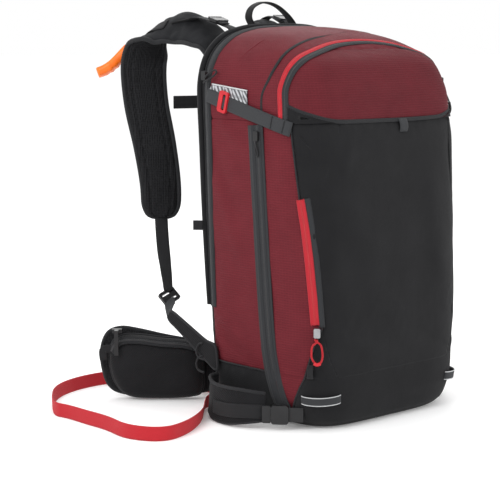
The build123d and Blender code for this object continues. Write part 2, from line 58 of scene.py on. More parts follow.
camera.rotation_euler = (math.radians(82.28), 0, math.radians(-43))
bpy.context.scene.camera = camera


# ---------------------------------------------------------------- materials
class Material:
    """A small builder of node materials in object or strip coordinates, in metres."""

    def __init__(self, name, rough=0.8, metallic=0.0, sheen=0.0, specular=0.5):
        self.data = bpy.data.materials.new(name)
        self.data.use_nodes = True
        self.tree = self.data.node_tree
        self.shader = self.tree.nodes["Principled BSDF"]
        self.shader.inputs["Roughness"].default_value = rough
        self.shader.inputs["Metallic"].default_value = metallic
        self.shader.inputs["Sheen Weight"].default_value = sheen
        self.shader.inputs["Sheen Roughness"].default_value = 0.5
        self.shader.inputs["Specular IOR Level"].default_value = specular
        self.space = self.node("ShaderNodeTexCoord").outputs["Object"]

    def node(self, kind, **settings):
        made = self.tree.nodes.new(kind)
        for key, value in settings.items():
            setattr(made, key, value)
        return made

    def use_strip(self):
        """Patterns follow the strip coordinates of the mesh instead."""
        self.space = self.node("ShaderNodeUVMap", uv_map="strip").outputs["UV"]
        return self

    def link(self, source, target):
        if isinstance(source, (int, float)):
            target.default_value = source
        else:
            self.tree.links.new(source, target)

    def math(self, operation, a, b=0.0, clamp=False):
        made = self.node("ShaderNodeMath", operation=operation, use_clamp=clamp)
        self.link(a, made.inputs[0])
        self.link(b, made.inputs[1])
        return made.outputs[0]

    def noise(self, size, detail=2.0):
        made = self.node("ShaderNodeTexNoise")
        made.inputs["Scale"].default_value = 1 / size
        made.inputs["Detail"].default_value = detail
        self.link(self.space, made.inputs["Vector"])
        return made.outputs["Fac"]

    def waves(self, period, direction):
        made = self.node("ShaderNodeTexWave", bands_direction=direction)
        made.inputs["Scale"].default_value = math.pi / (10 * period)
        made.inputs["Detail"].default_value = 0
        self.link(self.space, made.inputs["Vector"])
        return made.outputs["Fac"]

    def ramp(self, source, low, high):
        made = self.node("ShaderNodeMapRange")
        made.inputs["From Min"].default_value = low
        made.inputs["From Max"].default_value = high
        self.link(source, made.inputs["Value"])
        return made.outputs["Result"]

    def colour(self, factor, dark, light):
        made = self.node("ShaderNodeMix", data_type="RGBA")
        self.link(factor, made.inputs["Factor"])
        for socket, value in ((6, dark), (7, light)):
            if isinstance(value, (tuple, list)):
                made.inputs[socket].default_value = (*value, 1)
            else:
                self.link(value, made.inputs[socket])
        return made.outputs[2]

    def finish(self, colour, height, depth, strength=0.8):
        self.link(colour, self.shader.inputs["Base Color"])
        bump = self.node("ShaderNodeBump")
        bump.inputs["Distance"].default_value = depth
        bump.inputs["Strength"].default_value = strength
        self.link(height, bump.inputs["Height"])
        self.link(bump.outputs["Normal"], self.shader.inputs["Normal"])
        return self.data


def ripstop(name, dark, light):
    """Plain weave with a raised grid of doubled threads and soft patches of tone."""
    m = Material(name, rough=0.68, specular=0.13).use_strip()
    rows = m.ramp(m.waves(0.0034, "Y"), 0.55, 0.95)
    columns = m.ramp(m.waves(0.0052, "X"), 0.82, 0.99)
    weave = m.math("MULTIPLY", m.waves(0.0008, "X"), m.waves(0.0008, "Y"))
    grid = m.math("MAXIMUM", rows, m.math("MULTIPLY", columns, 0.6))
    tone = m.noise(0.035, 3.0)
    mottling = m.noise(0.0025, 1.0)
    factor = m.math("ADD", m.math("MULTIPLY", tone, 0.45), m.math("MULTIPLY", grid, 0.28))
    factor = m.math("ADD", factor, m.math("MULTIPLY", mottling, 0.3), clamp=True)
    height = m.math("ADD", grid, m.math("MULTIPLY", weave, 0.25))
    height = m.math("ADD", height, m.math("MULTIPLY", m.noise(0.012, 3.0), 1.6))
    return m.finish(m.colour(factor, dark, light), height, 0.0004)


def softshell(name, dark, light, size=0.0011, rough=0.85):
    """Stretch-woven cloth: a very fine twill with faint lengthwise streaks."""
    m = Material(name, rough=rough, sheen=0.05, specular=0.14).use_strip()
    twill = m.waves(size, "DIAGONAL")
    fibre = m.noise(0.0009, 2.0)
    tone = m.noise(0.05, 2.0)
    factor = m.math("ADD", m.math("MULTIPLY", twill, 0.2), m.math("MULTIPLY", fibre, 0.45))
    factor = m.math("ADD", factor, m.math("MULTIPLY", m.math("SUBTRACT", tone, 0.4), 0.6), clamp=True)
    height = m.math("ADD", twill, m.math("MULTIPLY", fibre, 0.7))
    height = m.math("ADD", height, m.math("MULTIPLY", m.noise(0.014, 3.0), 2.2))
    return m.finish(m.colour(factor, dark, light), height, 0.00035)


def woven_tape(name, dark, light, rib=0.0014):
    """Webbing: ribs across the tape, fine threads along it."""
    m = Material(name, rough=0.74, sheen=0.05, specular=0.2).use_strip()
    ribs = m.waves(rib, "X")
    threads = m.waves(0.0016, "Y")
    fuzz = m.noise(0.0012, 2.0)
    height = m.math("ADD", ribs, m.math("MULTIPLY", threads, 0.6))
    factor = m.math("ADD", m.math("MULTIPLY", height, 0.4), m.math("MULTIPLY", fuzz, 0.35), clamp=True)
    return m.finish(m.colour(factor, dark, light), height, 0.0004)


def mesh_cloth(name, dark, light, cell=0.0032):
    """Spacer mesh: a lattice of small round holes."""
    m = Material(name, rough=0.9, sheen=0.04, specular=0.1)
    cells = m.node("ShaderNodeTexVoronoi", feature="F1")
    cells.inputs["Scale"].default_value = 1 / cell
    cells.inputs["Randomness"].default_value = 0.25
    m.link(m.space, cells.inputs["Vector"])
    web = m.ramp(cells.outputs["Distance"], 0.25, 0.62)
    factor = m.math("MULTIPLY", web, m.math("ADD", m.noise(0.03, 2.0), 0.5), clamp=True)
    return m.finish(m.colour(factor, dark, light), web, 0.0006)


def plastic(name, dark, light, rough=0.42):
    """Moulded plastic with a fine spark-eroded grain and worn tone."""
    m = Material(name, rough=rough, specular=0.35)
    grain = m.noise(0.0007, 2.0)
    tone = m.noise(0.012, 3.0)
    return m.finish(m.colour(tone, dark, light), grain, 0.00012, 0.5)


def metal(name, dark, light, rough):
    m = Material(name, rough=rough, metallic=1.0)
    brushed = m.noise(0.0009, 3.0)
    tone = m.noise(0.01, 2.0)
    return m.finish(m.colour(tone, dark, light), brushed, 0.0001, 0.4)


def reflective(name):
    """Grey reflective print: slanted hatching on a dark ground."""
    m = Material(name, rough=0.38, specular=0.6).use_strip()
    hatch = m.ramp(m.waves(0.0042, "DIAGONAL"), 0.45, 0.6)
    cross = m.ramp(m.waves(0.009, "Y"), 0.2, 0.3)
    factor = m.math("MULTIPLY", hatch, m.math("ADD", m.math("MULTIPLY", cross, 0.4), 0.6))
    return m.finish(m.colour(factor, (0.07, 0.072, 0.078), (0.42, 0.43, 0.45)), factor, 0.0003)


RIPSTOP = ripstop("maroon_ripstop_cloth", (0.072, 0.0072, 0.0115), (0.162, 0.019, 0.027))
RIPSTOP_LID = ripstop("maroon_lid_cloth", (0.062, 0.0062, 0.01), (0.14, 0.0165, 0.0235))
BLACK_CLOTH = softshell("black_softshell_cloth", (0.006, 0.006, 0.0068), (0.017, 0.017, 0.0185))
PACK_CLOTH = softshell("black_pack_cloth", (0.0045, 0.0045, 0.0052), (0.015, 0.015, 0.0168), 0.0018, 0.75)
STRAP_CLOTH = softshell("strap_outer_cloth", (0.0055, 0.006, 0.007), (0.019, 0.0195, 0.022), 0.0014, 0.8)
MESH = mesh_cloth("black_spacer_mesh", (0.004, 0.004, 0.0045), (0.016, 0.016, 0.0175), 0.0026)
LINING = softshell("grey_lining_cloth", (0.1, 0.105, 0.11), (0.22, 0.225, 0.235), 0.001)
TAPE = woven_tape("charcoal_zip_tape", (0.012, 0.0128, 0.0145), (0.044, 0.0455, 0.05), 0.0011)
BLACK_WEB = woven_tape("black_webbing_weave", (0.005, 0.005, 0.0058), (0.022, 0.022, 0.024))
BINDING = woven_tape("black_binding_weave", (0.008, 0.008, 0.009), (0.03, 0.031, 0.034), 0.001)
GREY_WEB = woven_tape("charcoal_webbing_weave", (0.014, 0.0148, 0.0165), (0.05, 0.052, 0.0565))
RED_WEB = woven_tape("red_webbing_weave", (0.3, 0.007, 0.012), (0.62, 0.028, 0.04))
RED_TAPE = woven_tape("red_zip_tape", (0.33, 0.01, 0.018), (0.6, 0.035, 0.05), 0.001)
WHITE_PIPE = woven_tape("white_piping_weave", (0.45, 0.46, 0.47), (0.75, 0.76, 0.77), 0.001)
RED_COIL = plastic("red_zip_coil", (0.3, 0.006, 0.012), (0.48, 0.014, 0.022), 0.35)
DARK_COIL = plastic("dark_zip_coil", (0.012, 0.012, 0.013), (0.035, 0.035, 0.038), 0.35)
BLACK_PLASTIC = plastic("black_moulded_plastic", (0.006, 0.006, 0.0066), (0.017, 0.017, 0.0185))
RED_PLASTIC = plastic("red_moulded_plastic", (0.36, 0.008, 0.013), (0.58, 0.018, 0.028), 0.35)
ORANGE_PLASTIC = plastic("orange_moulded_plastic", (0.78, 0.12, 0.006), (1.0, 0.2, 0.012), 0.4)
GREY_PLASTIC = plastic("grey_moulded_plastic", (0.03, 0.03, 0.034), (0.06, 0.06, 0.066), 0.5)
BRIGHT_METAL = metal("bright_plated_metal", (0.22, 0.22, 0.23), (0.42, 0.42, 0.43), 0.3)
SATIN_METAL = metal("satin_alloy", (0.45, 0.45, 0.46), (0.62, 0.62, 0.64), 0.42)
REFLECTIVE = reflective("grey_reflective_print")
ORANGE_WEB = woven_tape("orange_cord_weave", (0.55, 0.07, 0.004), (0.95, 0.2, 0.02), 0.0012)
RED_CORD = woven_tape("red_cord_weave", (0.28, 0.006, 0.01), (0.62, 0.03, 0.04), 0.0012)
BLACK_CORD = woven_tape("black_cord_weave", (0.006, 0.006, 0.007), (0.04, 0.04, 0.043), 0.0012)

SLOT_MATERIALS = {
    "maroon_ripstop": RIPSTOP, "black_softshell": BLACK_CLOTH, "black_fabric": PACK_CLOTH,
    "back_mesh": MESH,
    "strap_fabric": STRAP_CLOTH, "lining": LINING, "charcoal_webbing": GREY_WEB, "black_webbing": BLACK_WEB,
    "red_zip": RED_TAPE, "red_webbing": RED_WEB, "reflective": REFLECTIVE, "black_plastic": BLACK_PLASTIC,
    "red_plastic": RED_PLASTIC, "orange_plastic": ORANGE_PLASTIC, "slider_metal": BRIGHT_METAL,
    "stay_alloy": SATIN_METAL, "housing_plastic": GREY_PLASTIC,
}


SIDES = (("left", -1), ("right", 1))
WEB_WIDTH = 0.0198


# ---------------------------------------------------------------- mesh helpers
def new_piece(name, data, material, body, node=None):
    """A piece that rides on a body, in place of a CAD node if one is named.

    data holds the vertices, the faces and one (u, v) in metres for each vertex.
    """
    verts, faces, uvs = data
    mesh = bpy.data.meshes.new(name)
    mesh.from_pydata([tuple(v) for v in verts], [], faces)
    mesh.update()
    layer = mesh.uv_layers.new(name="strip")
    for loop in mesh.loops:
        layer.data[loop.index].uv = uvs[loop.vertex_index]
    mesh.polygons.foreach_set("use_smooth", [True] * len(mesh.polygons))
    mesh.materials.append(material)
    piece = bpy.data.objects.new(name, mesh)
    bpy.context.scene.collection.objects.link(piece)
    if body:
        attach(piece, body)
    if node:
        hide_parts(node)
    return piece


def between(p, a, b, q, t):
    """Part t of the smooth curve from a to b, with p before them and q after."""
    return 0.5 * (2 * a + (b - p) * t + (2 * p - 5 * a + 4 * b - q) * t * t + (3 * a - p - 3 * b + q) * t ** 3)


def spline(points, step=0.003):
    """Even points along a smooth curve through the given ones."""
    points = [Vector(p) for p in points]
    dense = []
    for i in range(len(points) - 1):
        a, b = points[i], points[i + 1]
        before = points[i - 1] if i else a * 2 - b
        after = points[i + 2] if i + 2 < len(points) else b * 2 - a
        for k in range(24):
            dense.append(between(before, a, b, after, k / 24))
    dense.append(points[-1])
    return even(dense, step)


def even(dense, step):
    """The same line with points an even distance apart."""
    lengths = [0.0]
    for a, b in zip(dense, dense[1:]):
        lengths.append(lengths[-1] + (b - a).length)
    count = max(2, round(lengths[-1] / step))
    result, j = [], 0
    for i in range(count + 1):
        target = lengths[-1] * i / count
        while j < len(dense) - 2 and lengths[j + 1] < target:
            j += 1
        part = (target - lengths[j]) / max(lengths[j + 1] - lengths[j], 1e-9)
        result.append(dense[j].lerp(dense[j + 1], min(max(part, 0), 1)))
    return result


def tangents(points):
    last = len(points) - 1
    return [(points[min(i + 1, last)] - points[max(i - 1, 0)]).normalized() for i in range(last + 1)]


def ribbon_data(points, normals, width, thickness, columns=8, shape=None):
    """Vertices, faces and strip coordinates of a closed flat band with rounded edges."""
    verts, faces, uvs = [], [], []
    along = 0.0
    ring = 2 * (columns + 1)
    for i, (p, t, n) in enumerate(zip(points, tangents(points), normals)):
        if i:
            along += (p - points[i - 1]).length
        part = i / (len(points) - 1)
        half = (width(part) if callable(width) else width) / 2
        side = t.cross(n).normalized()
        up = side.cross(t).normalized()
        for top in (1, -1):
            for k in range(columns + 1):
                v = -1 + 2 * k / columns
                v *= top
                edge = math.sqrt(max(0.0, 1 - abs(v) ** 8))
                height = thickness / 2 * max(edge, 0.25) * top
                if shape and top > 0:
                    height += shape(part, v, along)
                verts.append(p + side * (v * half) + up * height)
                uvs.append((along, v * half))
    for i in range(len(points) - 1):
        for k in range(ring):
            j = (k + 1) % ring
            faces.append((i * ring + k, i * ring + j, (i + 1) * ring + j, (i + 1) * ring + k))
    faces.append(tuple(range(ring))[::-1])
    end = (len(points) - 1) * ring
    faces.append(tuple(end + k for k in range(ring)))
    return verts, faces, uvs


def ribbon(name, points, normals, width, thickness, material, body, slot, node=None, **more):
    data = ribbon_data(points, normals, width, thickness, **more)
    return new_piece(name, data, material, body, node)


def tube_data(points, radius, sides=8):
    """A round cord with capped ends; its frame is carried along without twisting."""
    verts, faces, uvs = [], [], []
    directions = tangents(points)
    up = directions[0].orthogonal().normalized()
    along = 0.0
    for i, (p, t) in enumerate(zip(points, directions)):
        if i:
            along += (p - points[i - 1]).length
        up = (up - t * up.dot(t)).normalized()
        side = t.cross(up)
        size = radius(i / (len(points) - 1)) if callable(radius) else radius
        for k in range(sides):
            angle = math.tau * k / sides
            verts.append(p + up * (math.cos(angle) * size) + side * (math.sin(angle) * size))
            uvs.append((along, angle * size))
    for i in range(len(points) - 1):
        for k in range(sides):
            j = (k + 1) % sides
            faces.append((i * sides + k, i * sides + j, (i + 1) * sides + j, (i + 1) * sides + k))
    faces.append(tuple(range(sides))[::-1])
    end = (len(points) - 1) * sides
    faces.append(tuple(end + k for k in range(sides)))
    return verts, faces, uvs


def joined(parts):
    """Several (vertices, faces, uvs) sets as one."""
    verts, faces, uvs = [], [], []
    for v, f, u in parts:
        start = len(verts)
        verts += v
        uvs += u
        faces += [tuple(start + i for i in face) for face in f]
    return verts, faces, uvs


def tube(name, points, radius, material, body, sides=8, node=None):
    return new_piece(name, tube_data(points, radius, sides), material, body, node)


def stitch_data(points, normals, offset=0.0, pitch=0.0034, length=0.0022, radius=0.00032, lift=0.0001):
    """A row of short thread stitches beside a line, each a small closed spindle."""
    line = even([p + t.cross(n).normalized() * offset + n * lift
                 for p, n, t in zip(points, normals, tangents(points))], pitch)
    parts = []
    for p, t in zip(line, tangents(line)):
        a, b = p - t * (length / 2), p + t * (length / 2)
        parts.append(tube_data([a, a.lerp(b, 0.2), a.lerp(b, 0.8), b],
                               lambda s: radius if 0.1 < s < 0.9 else radius * 0.3, 5))
    return joined(parts)


def stitches(name, rows, material, body):
    return new_piece(name, joined(rows), material, body)


# ---------------------------------------------------------------- the bag's form
# height, half width, front, back
SECTIONS = [
    (0.0, 0.06, -0.06, 0.04), (0.0, 0.11, -0.104, 0.079),
    (0.002, 0.128, -0.119, 0.093), (0.012, 0.14, -0.129, 0.101), (0.03, 0.149, -0.134, 0.105),
    (0.06, 0.155, -0.137, 0.108), (0.15, 0.159, -0.138, 0.113), (0.28, 0.16, -0.135, 0.124),
    (0.385, 0.16, -0.13, 0.132), (0.44, 0.16, -0.121, 0.137), (0.47, 0.158, -0.112, 0.139),
    (0.498, 0.149, -0.098, 0.14), (0.518, 0.133, -0.065, 0.139), (0.535, 0.106, -0.02, 0.137),
    (0.5445, 0.068, 0.028, 0.126), (0.5475, 0.03, 0.058, 0.1),
]
AROUND = 288
BASE_SEAM = 0.075
LID_SEAM = 0.42
LID_FRONT = -0.065
FOOT_TURN = 0.143
HINGE_HEIGHT = 0.15


def section_ring(z, half, front, back, count):
    """Evenly spaced points round one superellipse section, starting at the middle of its back."""
    middle, depth = (front + back) / 2, (back - front) / 2
    dense = []
    for i in range(721):
        t = math.tau * i / 720 + math.pi / 2
        c, s = math.cos(t), math.sin(t)
        radius = (abs(c / half) ** 5 + abs(s / depth) ** 5) ** -0.2
        dense.append(Vector((radius * c, middle + radius * s, z)))
    lengths = [0.0]
    for a, b in zip(dense, dense[1:]):
        lengths.append(lengths[-1] + (b - a).length)
    ring, j = [], 0
    for i in range(count):
        target = lengths[-1] * i / count
        while lengths[j + 1] < target:
            j += 1
        part = (target - lengths[j]) / (lengths[j + 1] - lengths[j])
        ring.append(dense[j].lerp(dense[j + 1], part))
    return ring


def smooth_sections():
    """Sections close together along a smooth profile, with the length run down the bag."""
    result = []
    for i in range(len(SECTIONS) - 1):
        a, b = SECTIONS[i], SECTIONS[i + 1]
        before = SECTIONS[max(i - 1, 0)]
        after = SECTIONS[min(i + 2, len(SECTIONS) - 1)]
        rows = max(2, round(max(b[0] - a[0], abs(b[2] - a[2])) / 0.0028))
        for k in range(rows):
            result.append(tuple(between(*values, k / rows) for values in zip(before, a, b, after)))
    result.append(SECTIONS[-1])
    return result


def build_form():
    """Rings of the smooth form from the base to the crown, and both end caps."""
    verts, faces, uvs = [], [], []
    run, previous = 0.0, None
    for z, half, front, back in smooth_sections():
        ring = section_ring(max(z, 0.0), half, front, back, AROUND)
        if previous:
            run += (ring[AROUND // 2] - previous[AROUND // 2]).length
        previous = ring
        for i, p in enumerate(ring):
            verts.append(p)
            uvs.append((1.1 * i / AROUND, run))
    rows = len(verts) // AROUND
    for r in range(rows - 1):
        for i in range(AROUND):
            j = (i + 1) % AROUND
            faces.append((r * AROUND + i, r * AROUND + j, (r + 1) * AROUND + j, (r + 1) * AROUND + i))
    faces.append(tuple(range(AROUND))[::-1])
    faces.append(tuple((rows - 1) * AROUND + i for i in range(AROUND)))
    return verts, faces, uvs


FORM_VERTS, FORM_FACES, FORM_UVS = build_form()
FORM = BVHTree.FromPolygons(FORM_VERTS, FORM_FACES)


def zip_plane(z):
    """Where the back zip's plane stands at a height."""
    return 0.08 + 0.012 * (z - BASE_SEAM) / 0.47


def front_seam(z):
    """Where the front cloth's side seam stands at a height."""
    return -0.08 - 0.155 * (LID_SEAM - z)


def low_front_seam(z):
    """Where the front cloth's edge swings back towards the bag's foot."""
    return -0.123 + 0.279 * (FOOT_TURN - z) if z > BASE_SEAM else -0.11 + 0.52 * (0.087 - z)


def on_form(point, lift=0.0):
    """The nearest place on the bag and the way out there."""
    place, normal, _, _ = FORM.find_nearest(Vector(point))
    if normal.dot(place - Vector((0, 0, min(max(place.z, 0.06), 0.42)))) < 0:
        normal = -normal
    return place + normal * lift, normal


def surface_line(points, lift=0.0, step=0.003):
    """A smooth line laid on the bag, with smoothed normals."""
    placed = [on_form(p, lift) for p in spline(points, step)]
    line = [p for p, _ in placed]
    normals = [n for _, n in placed]
    for _ in range(6):
        normals = [(normals[max(i - 1, 0)] + n * 2 + normals[min(i + 1, len(normals) - 1)]).normalized()
                   for i, n in enumerate(normals)]
    return line, normals


def side_x(sign, y, z):
    """The bag's side at (y, z)."""
    hit = FORM.ray_cast(Vector((sign * 0.4, y, z)), Vector((-sign, 0, 0)))
    return hit[0]


def arch(plane_y, low, high_z=0.36, count=60, sides=(-1, 1)):
    """Points up one side, over the top and down the other where y = plane_y(z)."""
    points = []
    for i in range(count + 1):
        angle = math.pi * i / count
        direction = Vector((-math.cos(angle), 0, math.sin(angle)))
        y = plane_y(0.5)
        for _ in range(3):
            hit = FORM.ray_cast(Vector((0, y, high_z)), direction)[0]
            y = plane_y(hit.z)
        points.append(Vector((hit.x, y, hit.z)))
    left = [side_x(-1, plane_y(z), z) for z in spread(low, high_z - 0.01, 0.02)]
    right = [side_x(1, plane_y(z), z) for z in spread(low, high_z - 0.01, 0.02)]
    return left + points + right[::-1]


def spread(low, high, step):
    count = max(1, round((high - low) / step))
    return [low + (high - low) * i / count for i in range(count + 1)]


def ring_at(z, low_angle=0.0, high_angle=math.tau, count=120):
    points = []
    for i in range(count + 1):
        angle = low_angle + (high_angle - low_angle) * i / count
        direction = Vector((math.cos(angle), math.sin(angle), 0))
        points.append(FORM.ray_cast(Vector((0, -0.005, z)), direction)[0])
    return points


# ---------------------------------------------------------------- the bag's panels
def pucker(p, distance, size, depth):
    """Short gathers across a seam that fade away from it."""
    if distance > 0.03:
        return 0.0
    return noise.noise(Vector((p.x / size, p.y / size, p.z / size))) * depth * (1 - distance / 0.03) ** 2


def crease(distance, width, depth):
    """A narrow groove along a seam."""
    return -depth * math.exp(-(distance / width) ** 2)


def seams_near(p):
    """Distances from the bag's main seams."""
    near = [abs(p.z - LID_SEAM)]
    if p.y > -0.05:
        near.append(abs(p.z - BASE_SEAM))
    if p.z > BASE_SEAM:
        near.append(abs(p.y - zip_plane(p.z)))
    if p.z > LID_SEAM - 0.005:
        near.append(abs(p.y - LID_FRONT))
    if p.z < LID_SEAM + 0.005:
        near.append(abs(p.y - (front_seam(p.z) if p.z > FOOT_TURN else low_front_seam(p.z))))
    return near


def fold(p, a, b, width, depth):
    """A soft ridge along the straight line from a to b."""
    a, b = Vector(a), Vector(b)
    part = min(max((p - a).dot(b - a) / (b - a).length_squared, 0), 1)
    distance = (p - a.lerp(b, part)).length
    return depth * math.exp(-(distance / width) ** 2) * math.sin(math.pi * min(max(part, 0.04),
                                                                               0.96)) ** 0.7


FOLDS = [
    ((-0.16, 0.07, 0.425), (-0.16, -0.01, 0.372), 0.01, 0.0022),
    ((-0.16, 0.075, 0.385), (-0.16, 0.02, 0.29), 0.012, -0.002),
    ((-0.16, 0.06, 0.33), (-0.16, 0.0, 0.21), 0.014, 0.0018),
    ((-0.158, -0.045, 0.4), (-0.157, -0.085, 0.33), 0.008, 0.0016),
    ((-0.157, -0.055, 0.3), (-0.153, -0.095, 0.19), 0.01, -0.0018),
    ((-0.157, 0.07, 0.15), (-0.157, -0.02, 0.095), 0.01, 0.002),
    ((-0.157, 0.06, 0.115), (-0.157, 0.01, 0.085), 0.007, -0.0018),
    ((0.16, 0.07, 0.425), (0.16, -0.01, 0.352), 0.012, 0.0022),
    ((0.16, 0.06, 0.3), (0.16, 0.0, 0.19), 0.014, -0.002),
    ((-0.12, -0.132, 0.33), (-0.06, -0.138, 0.11), 0.022, -0.0024),
    ((0.06, -0.13, 0.4), (0.11, -0.132, 0.12), 0.02, 0.0022),
    ((-0.085, -0.126, 0.4), (-0.105, -0.13, 0.345), 0.01, 0.002),
    ((0.12, -0.125, 0.405), (0.135, -0.12, 0.3), 0.01, -0.002),
    ((-0.1, -0.137, 0.12), (0.02, -0.138, 0.085), 0.012, 0.002),
    ((0.02, -0.138, 0.13), (0.12, -0.132, 0.09), 0.011, -0.0018),
    ((-0.13, -0.04, 0.505), (-0.03, 0.0, 0.532), 0.016, -0.002),
    ((0.03, -0.02, 0.532), (0.12, 0.01, 0.515), 0.016, -0.0018),
]


def displaced(p, n):
    """A point of the form moved along its normal by noise, seams and folds."""
    near = seams_near(p)
    offset = noise.noise(p * 9.0) * 0.0016 + noise.noise(p * 24.0 + Vector((3, 1, 7))) * 0.0007
    nearest = min(near)
    offset += pucker(p, nearest, 0.011, 0.0014) + crease(nearest, 0.0028, 0.0014)
    offset += 0.0012 * (1 - math.exp(-(nearest / 0.02) ** 2))
    for a, b, width, depth in FOLDS:
        if abs(a[0] - p.x) < 0.09 or abs(b[0] - p.x) < 0.09:
            offset += fold(p, a, b, width, depth)
    if p.z < 0.012:
        offset = min(offset, 0.0) * max(p.z, 0.0) / 0.012
    return p + n * offset


def form_mesh():
    """The whole displaced skin, with strip coordinates that don't wrap inside a face."""
    made = bpy.data.meshes.new("form")
    made.from_pydata([tuple(v) for v in FORM_VERTS], [], FORM_FACES)
    made.update()
    layer = made.uv_layers.new(name="strip")
    for polygon in made.polygons:
        us = [FORM_UVS[made.loops[i].vertex_index][0] for i in polygon.loop_indices]
        wraps = max(us) - min(us) > 0.5 and len(us) == 4
        for i, u in zip(polygon.loop_indices, us):
            v = FORM_UVS[made.loops[i].vertex_index][1]
            layer.data[i].uv = (u + 1.1 if wraps and u < 0.5 else u, v)
    moved = [displaced(v.co.copy(), v.normal.copy()) for v in made.vertices]
    for vertex, place in zip(made.vertices, moved):
        vertex.co = place
    return made


SKIN = form_mesh()
CLOTH_THICKNESS = 0.0016


def panel(name, node, material, body, cuts):
    """The part of the bag's skin on the inner side of each (point, way out) plane, made thick."""
    bm = bmesh.new()
    bm.from_mesh(SKIN)
    for point, outwards in cuts:
        geometry = list(bm.verts) + list(bm.edges) + list(bm.faces)
        bmesh.ops.bisect_plane(bm, geom=geometry, dist=1e-6, plane_co=point, plane_no=outwards,
                               clear_outer=True)
    mesh = bpy.data.meshes.new(name)
    bm.to_mesh(mesh)
    bm.free()
    mesh.polygons.foreach_set("use_smooth", [True] * len(mesh.polygons))
    mesh.materials.append(material)
    mesh.materials.append(LINING)
    piece = bpy.data.objects.new(name, mesh)
    bpy.context.scene.collection.objects.link(piece)
    solid = piece.modifiers.new("thickness", "SOLIDIFY")
    solid.thickness = CLOTH_THICKNESS
    solid.offset = -1
    solid.material_offset = 1
    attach(piece, body)
    if node:
        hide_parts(node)
    return piece


BELOW_BASE = ((0, 0, BASE_SEAM), (0, 0, 1))
ABOVE_BASE = ((0, 0, BASE_SEAM), (0, 0, -1))
BELOW_LID = ((0, 0, LID_SEAM), (0, 0, 1))
ABOVE_LID = ((0, 0, LID_SEAM), (0, 0, -1))
AHEAD_OF_ZIP = ((0, zip_plane(BASE_SEAM), BASE_SEAM), (0, 0.47, -0.012))
BEHIND_ZIP = ((0, zip_plane(BASE_SEAM), BASE_SEAM), (0, -0.47, 0.012))
BEHIND_FRONT = ((0, front_seam(LID_SEAM), LID_SEAM), (0, -1, 0.155))
AHEAD_OF_FRONT = ((0, front_seam(LID_SEAM), LID_SEAM), (0, 1, -0.155))
BEHIND_LID = ((0, LID_FRONT, 0), (0, -1, 0))
AHEAD_OF_LID = ((0, LID_FRONT, 0), (0, 1, 0))
LEFT = ((-0.03, 0, 0), (1, 0, 0))
RIGHT = ((0.03, 0, 0), (-1, 0, 0))
ABOVE_HINGE = ((0, 0, HINGE_HEIGHT), (0, 0, -1))
BELOW_HINGE = ((0, 0, HINGE_HEIGHT), (0, 0, 1))
BEHIND_GUSSET = ((0, -0.123, FOOT_TURN), (0, -1, -0.279))
AHEAD_OF_GUSSET = ((0, -0.123, FOOT_TURN), (0, 1, 0.279))
BEHIND_FLAP = ((0, -0.05, BASE_SEAM), (0, -1, 0.296))
AHEAD_OF_FLAP = ((0, -0.05, BASE_SEAM), (0, 1, -0.296))
BEHIND_FOOT = ((0, -0.11, 0.087), (0, -1, -0.52))
AHEAD_OF_FOOT = ((0, -0.11, 0.087), (0, 1, 0.52))

panel("base_shell", "base_panel", PACK_CLOTH, "bag", [BELOW_BASE, BEHIND_FLAP])
panel("base_wedge", None, RIPSTOP, "bag", [BELOW_BASE, AHEAD_OF_FLAP, BEHIND_FOOT])
panel("base_front", None, BLACK_CLOTH, "bag", [BELOW_BASE, AHEAD_OF_FOOT])
for side, half in (("left", LEFT), ("right", RIGHT)):
    panel("foot_gusset_" + side, None, BLACK_CLOTH, "bag",
          [ABOVE_BASE, BEHIND_FRONT, AHEAD_OF_GUSSET, half])
for side, half in (("left", LEFT), ("right", RIGHT)):
    panel("side_shell_" + side, "side_panel_" + side, RIPSTOP, "bag",
          [ABOVE_BASE, BELOW_LID, AHEAD_OF_ZIP, BEHIND_FRONT, BEHIND_GUSSET, half])
panel("front_shell", "front_panel", BLACK_CLOTH, "bag",
      [ABOVE_BASE, BELOW_LID, AHEAD_OF_FRONT])
panel("lid_shell", "lid_pocket", RIPSTOP_LID, "bag", [ABOVE_LID, AHEAD_OF_LID])
panel("top_shell", "top_panel", RIPSTOP, "bag", [ABOVE_LID, BEHIND_LID, AHEAD_OF_ZIP])
panel("back_shell", "back_panel", PACK_CLOTH, "back", [ABOVE_HINGE, BEHIND_ZIP])
panel("lumbar_shell", "lumbar_panel", PACK_CLOTH, "bag",
      [ABOVE_BASE, BELOW_HINGE, BEHIND_ZIP])

# ---------------------------------------------------------------- the leg strap, a webbing band along a smooth curve
LEG_ROUTE = [
    (-0.112, 0.101), (-0.15, 0.097), (-0.18, 0.068), (-0.216, 0.03), (-0.273, -0.006), (-0.325, -0.018),
    (-0.352, 0.03), (-0.339, 0.086), (-0.34, 0.132), (-0.338, 0.178), (-0.345, 0.205), (-0.3, 0.268),
    (-0.262, 0.3), (-0.214, 0.318), (-0.156, 0.32), (-0.112, 0.29), (-0.092, 0.23), (-0.086, 0.17),
    (-0.08, 0.104),
]


def nurbs_line(route, height):
    """Points along the smooth NURBS curve that has the route as its control points."""
    data = bpy.data.curves.new("route", "CURVE")
    data.dimensions = "3D"
    data.resolution_u = 16
    strand = data.splines.new("NURBS")
    strand.points.add(len(route) - 1)
    for point, (x, y) in zip(strand.points, route):
        point.co = (x, y, height, 1)
    strand.order_u = 3
    strand.use_endpoint_u = True
    holder = bpy.data.objects.new("route", data)
    bpy.context.scene.collection.objects.link(holder)
    bpy.context.view_layer.update()
    line = bpy.data.meshes.new_from_object(holder)
    points = [v.co.copy() for v in line.vertices]
    bpy.data.objects.remove(holder)
    return points


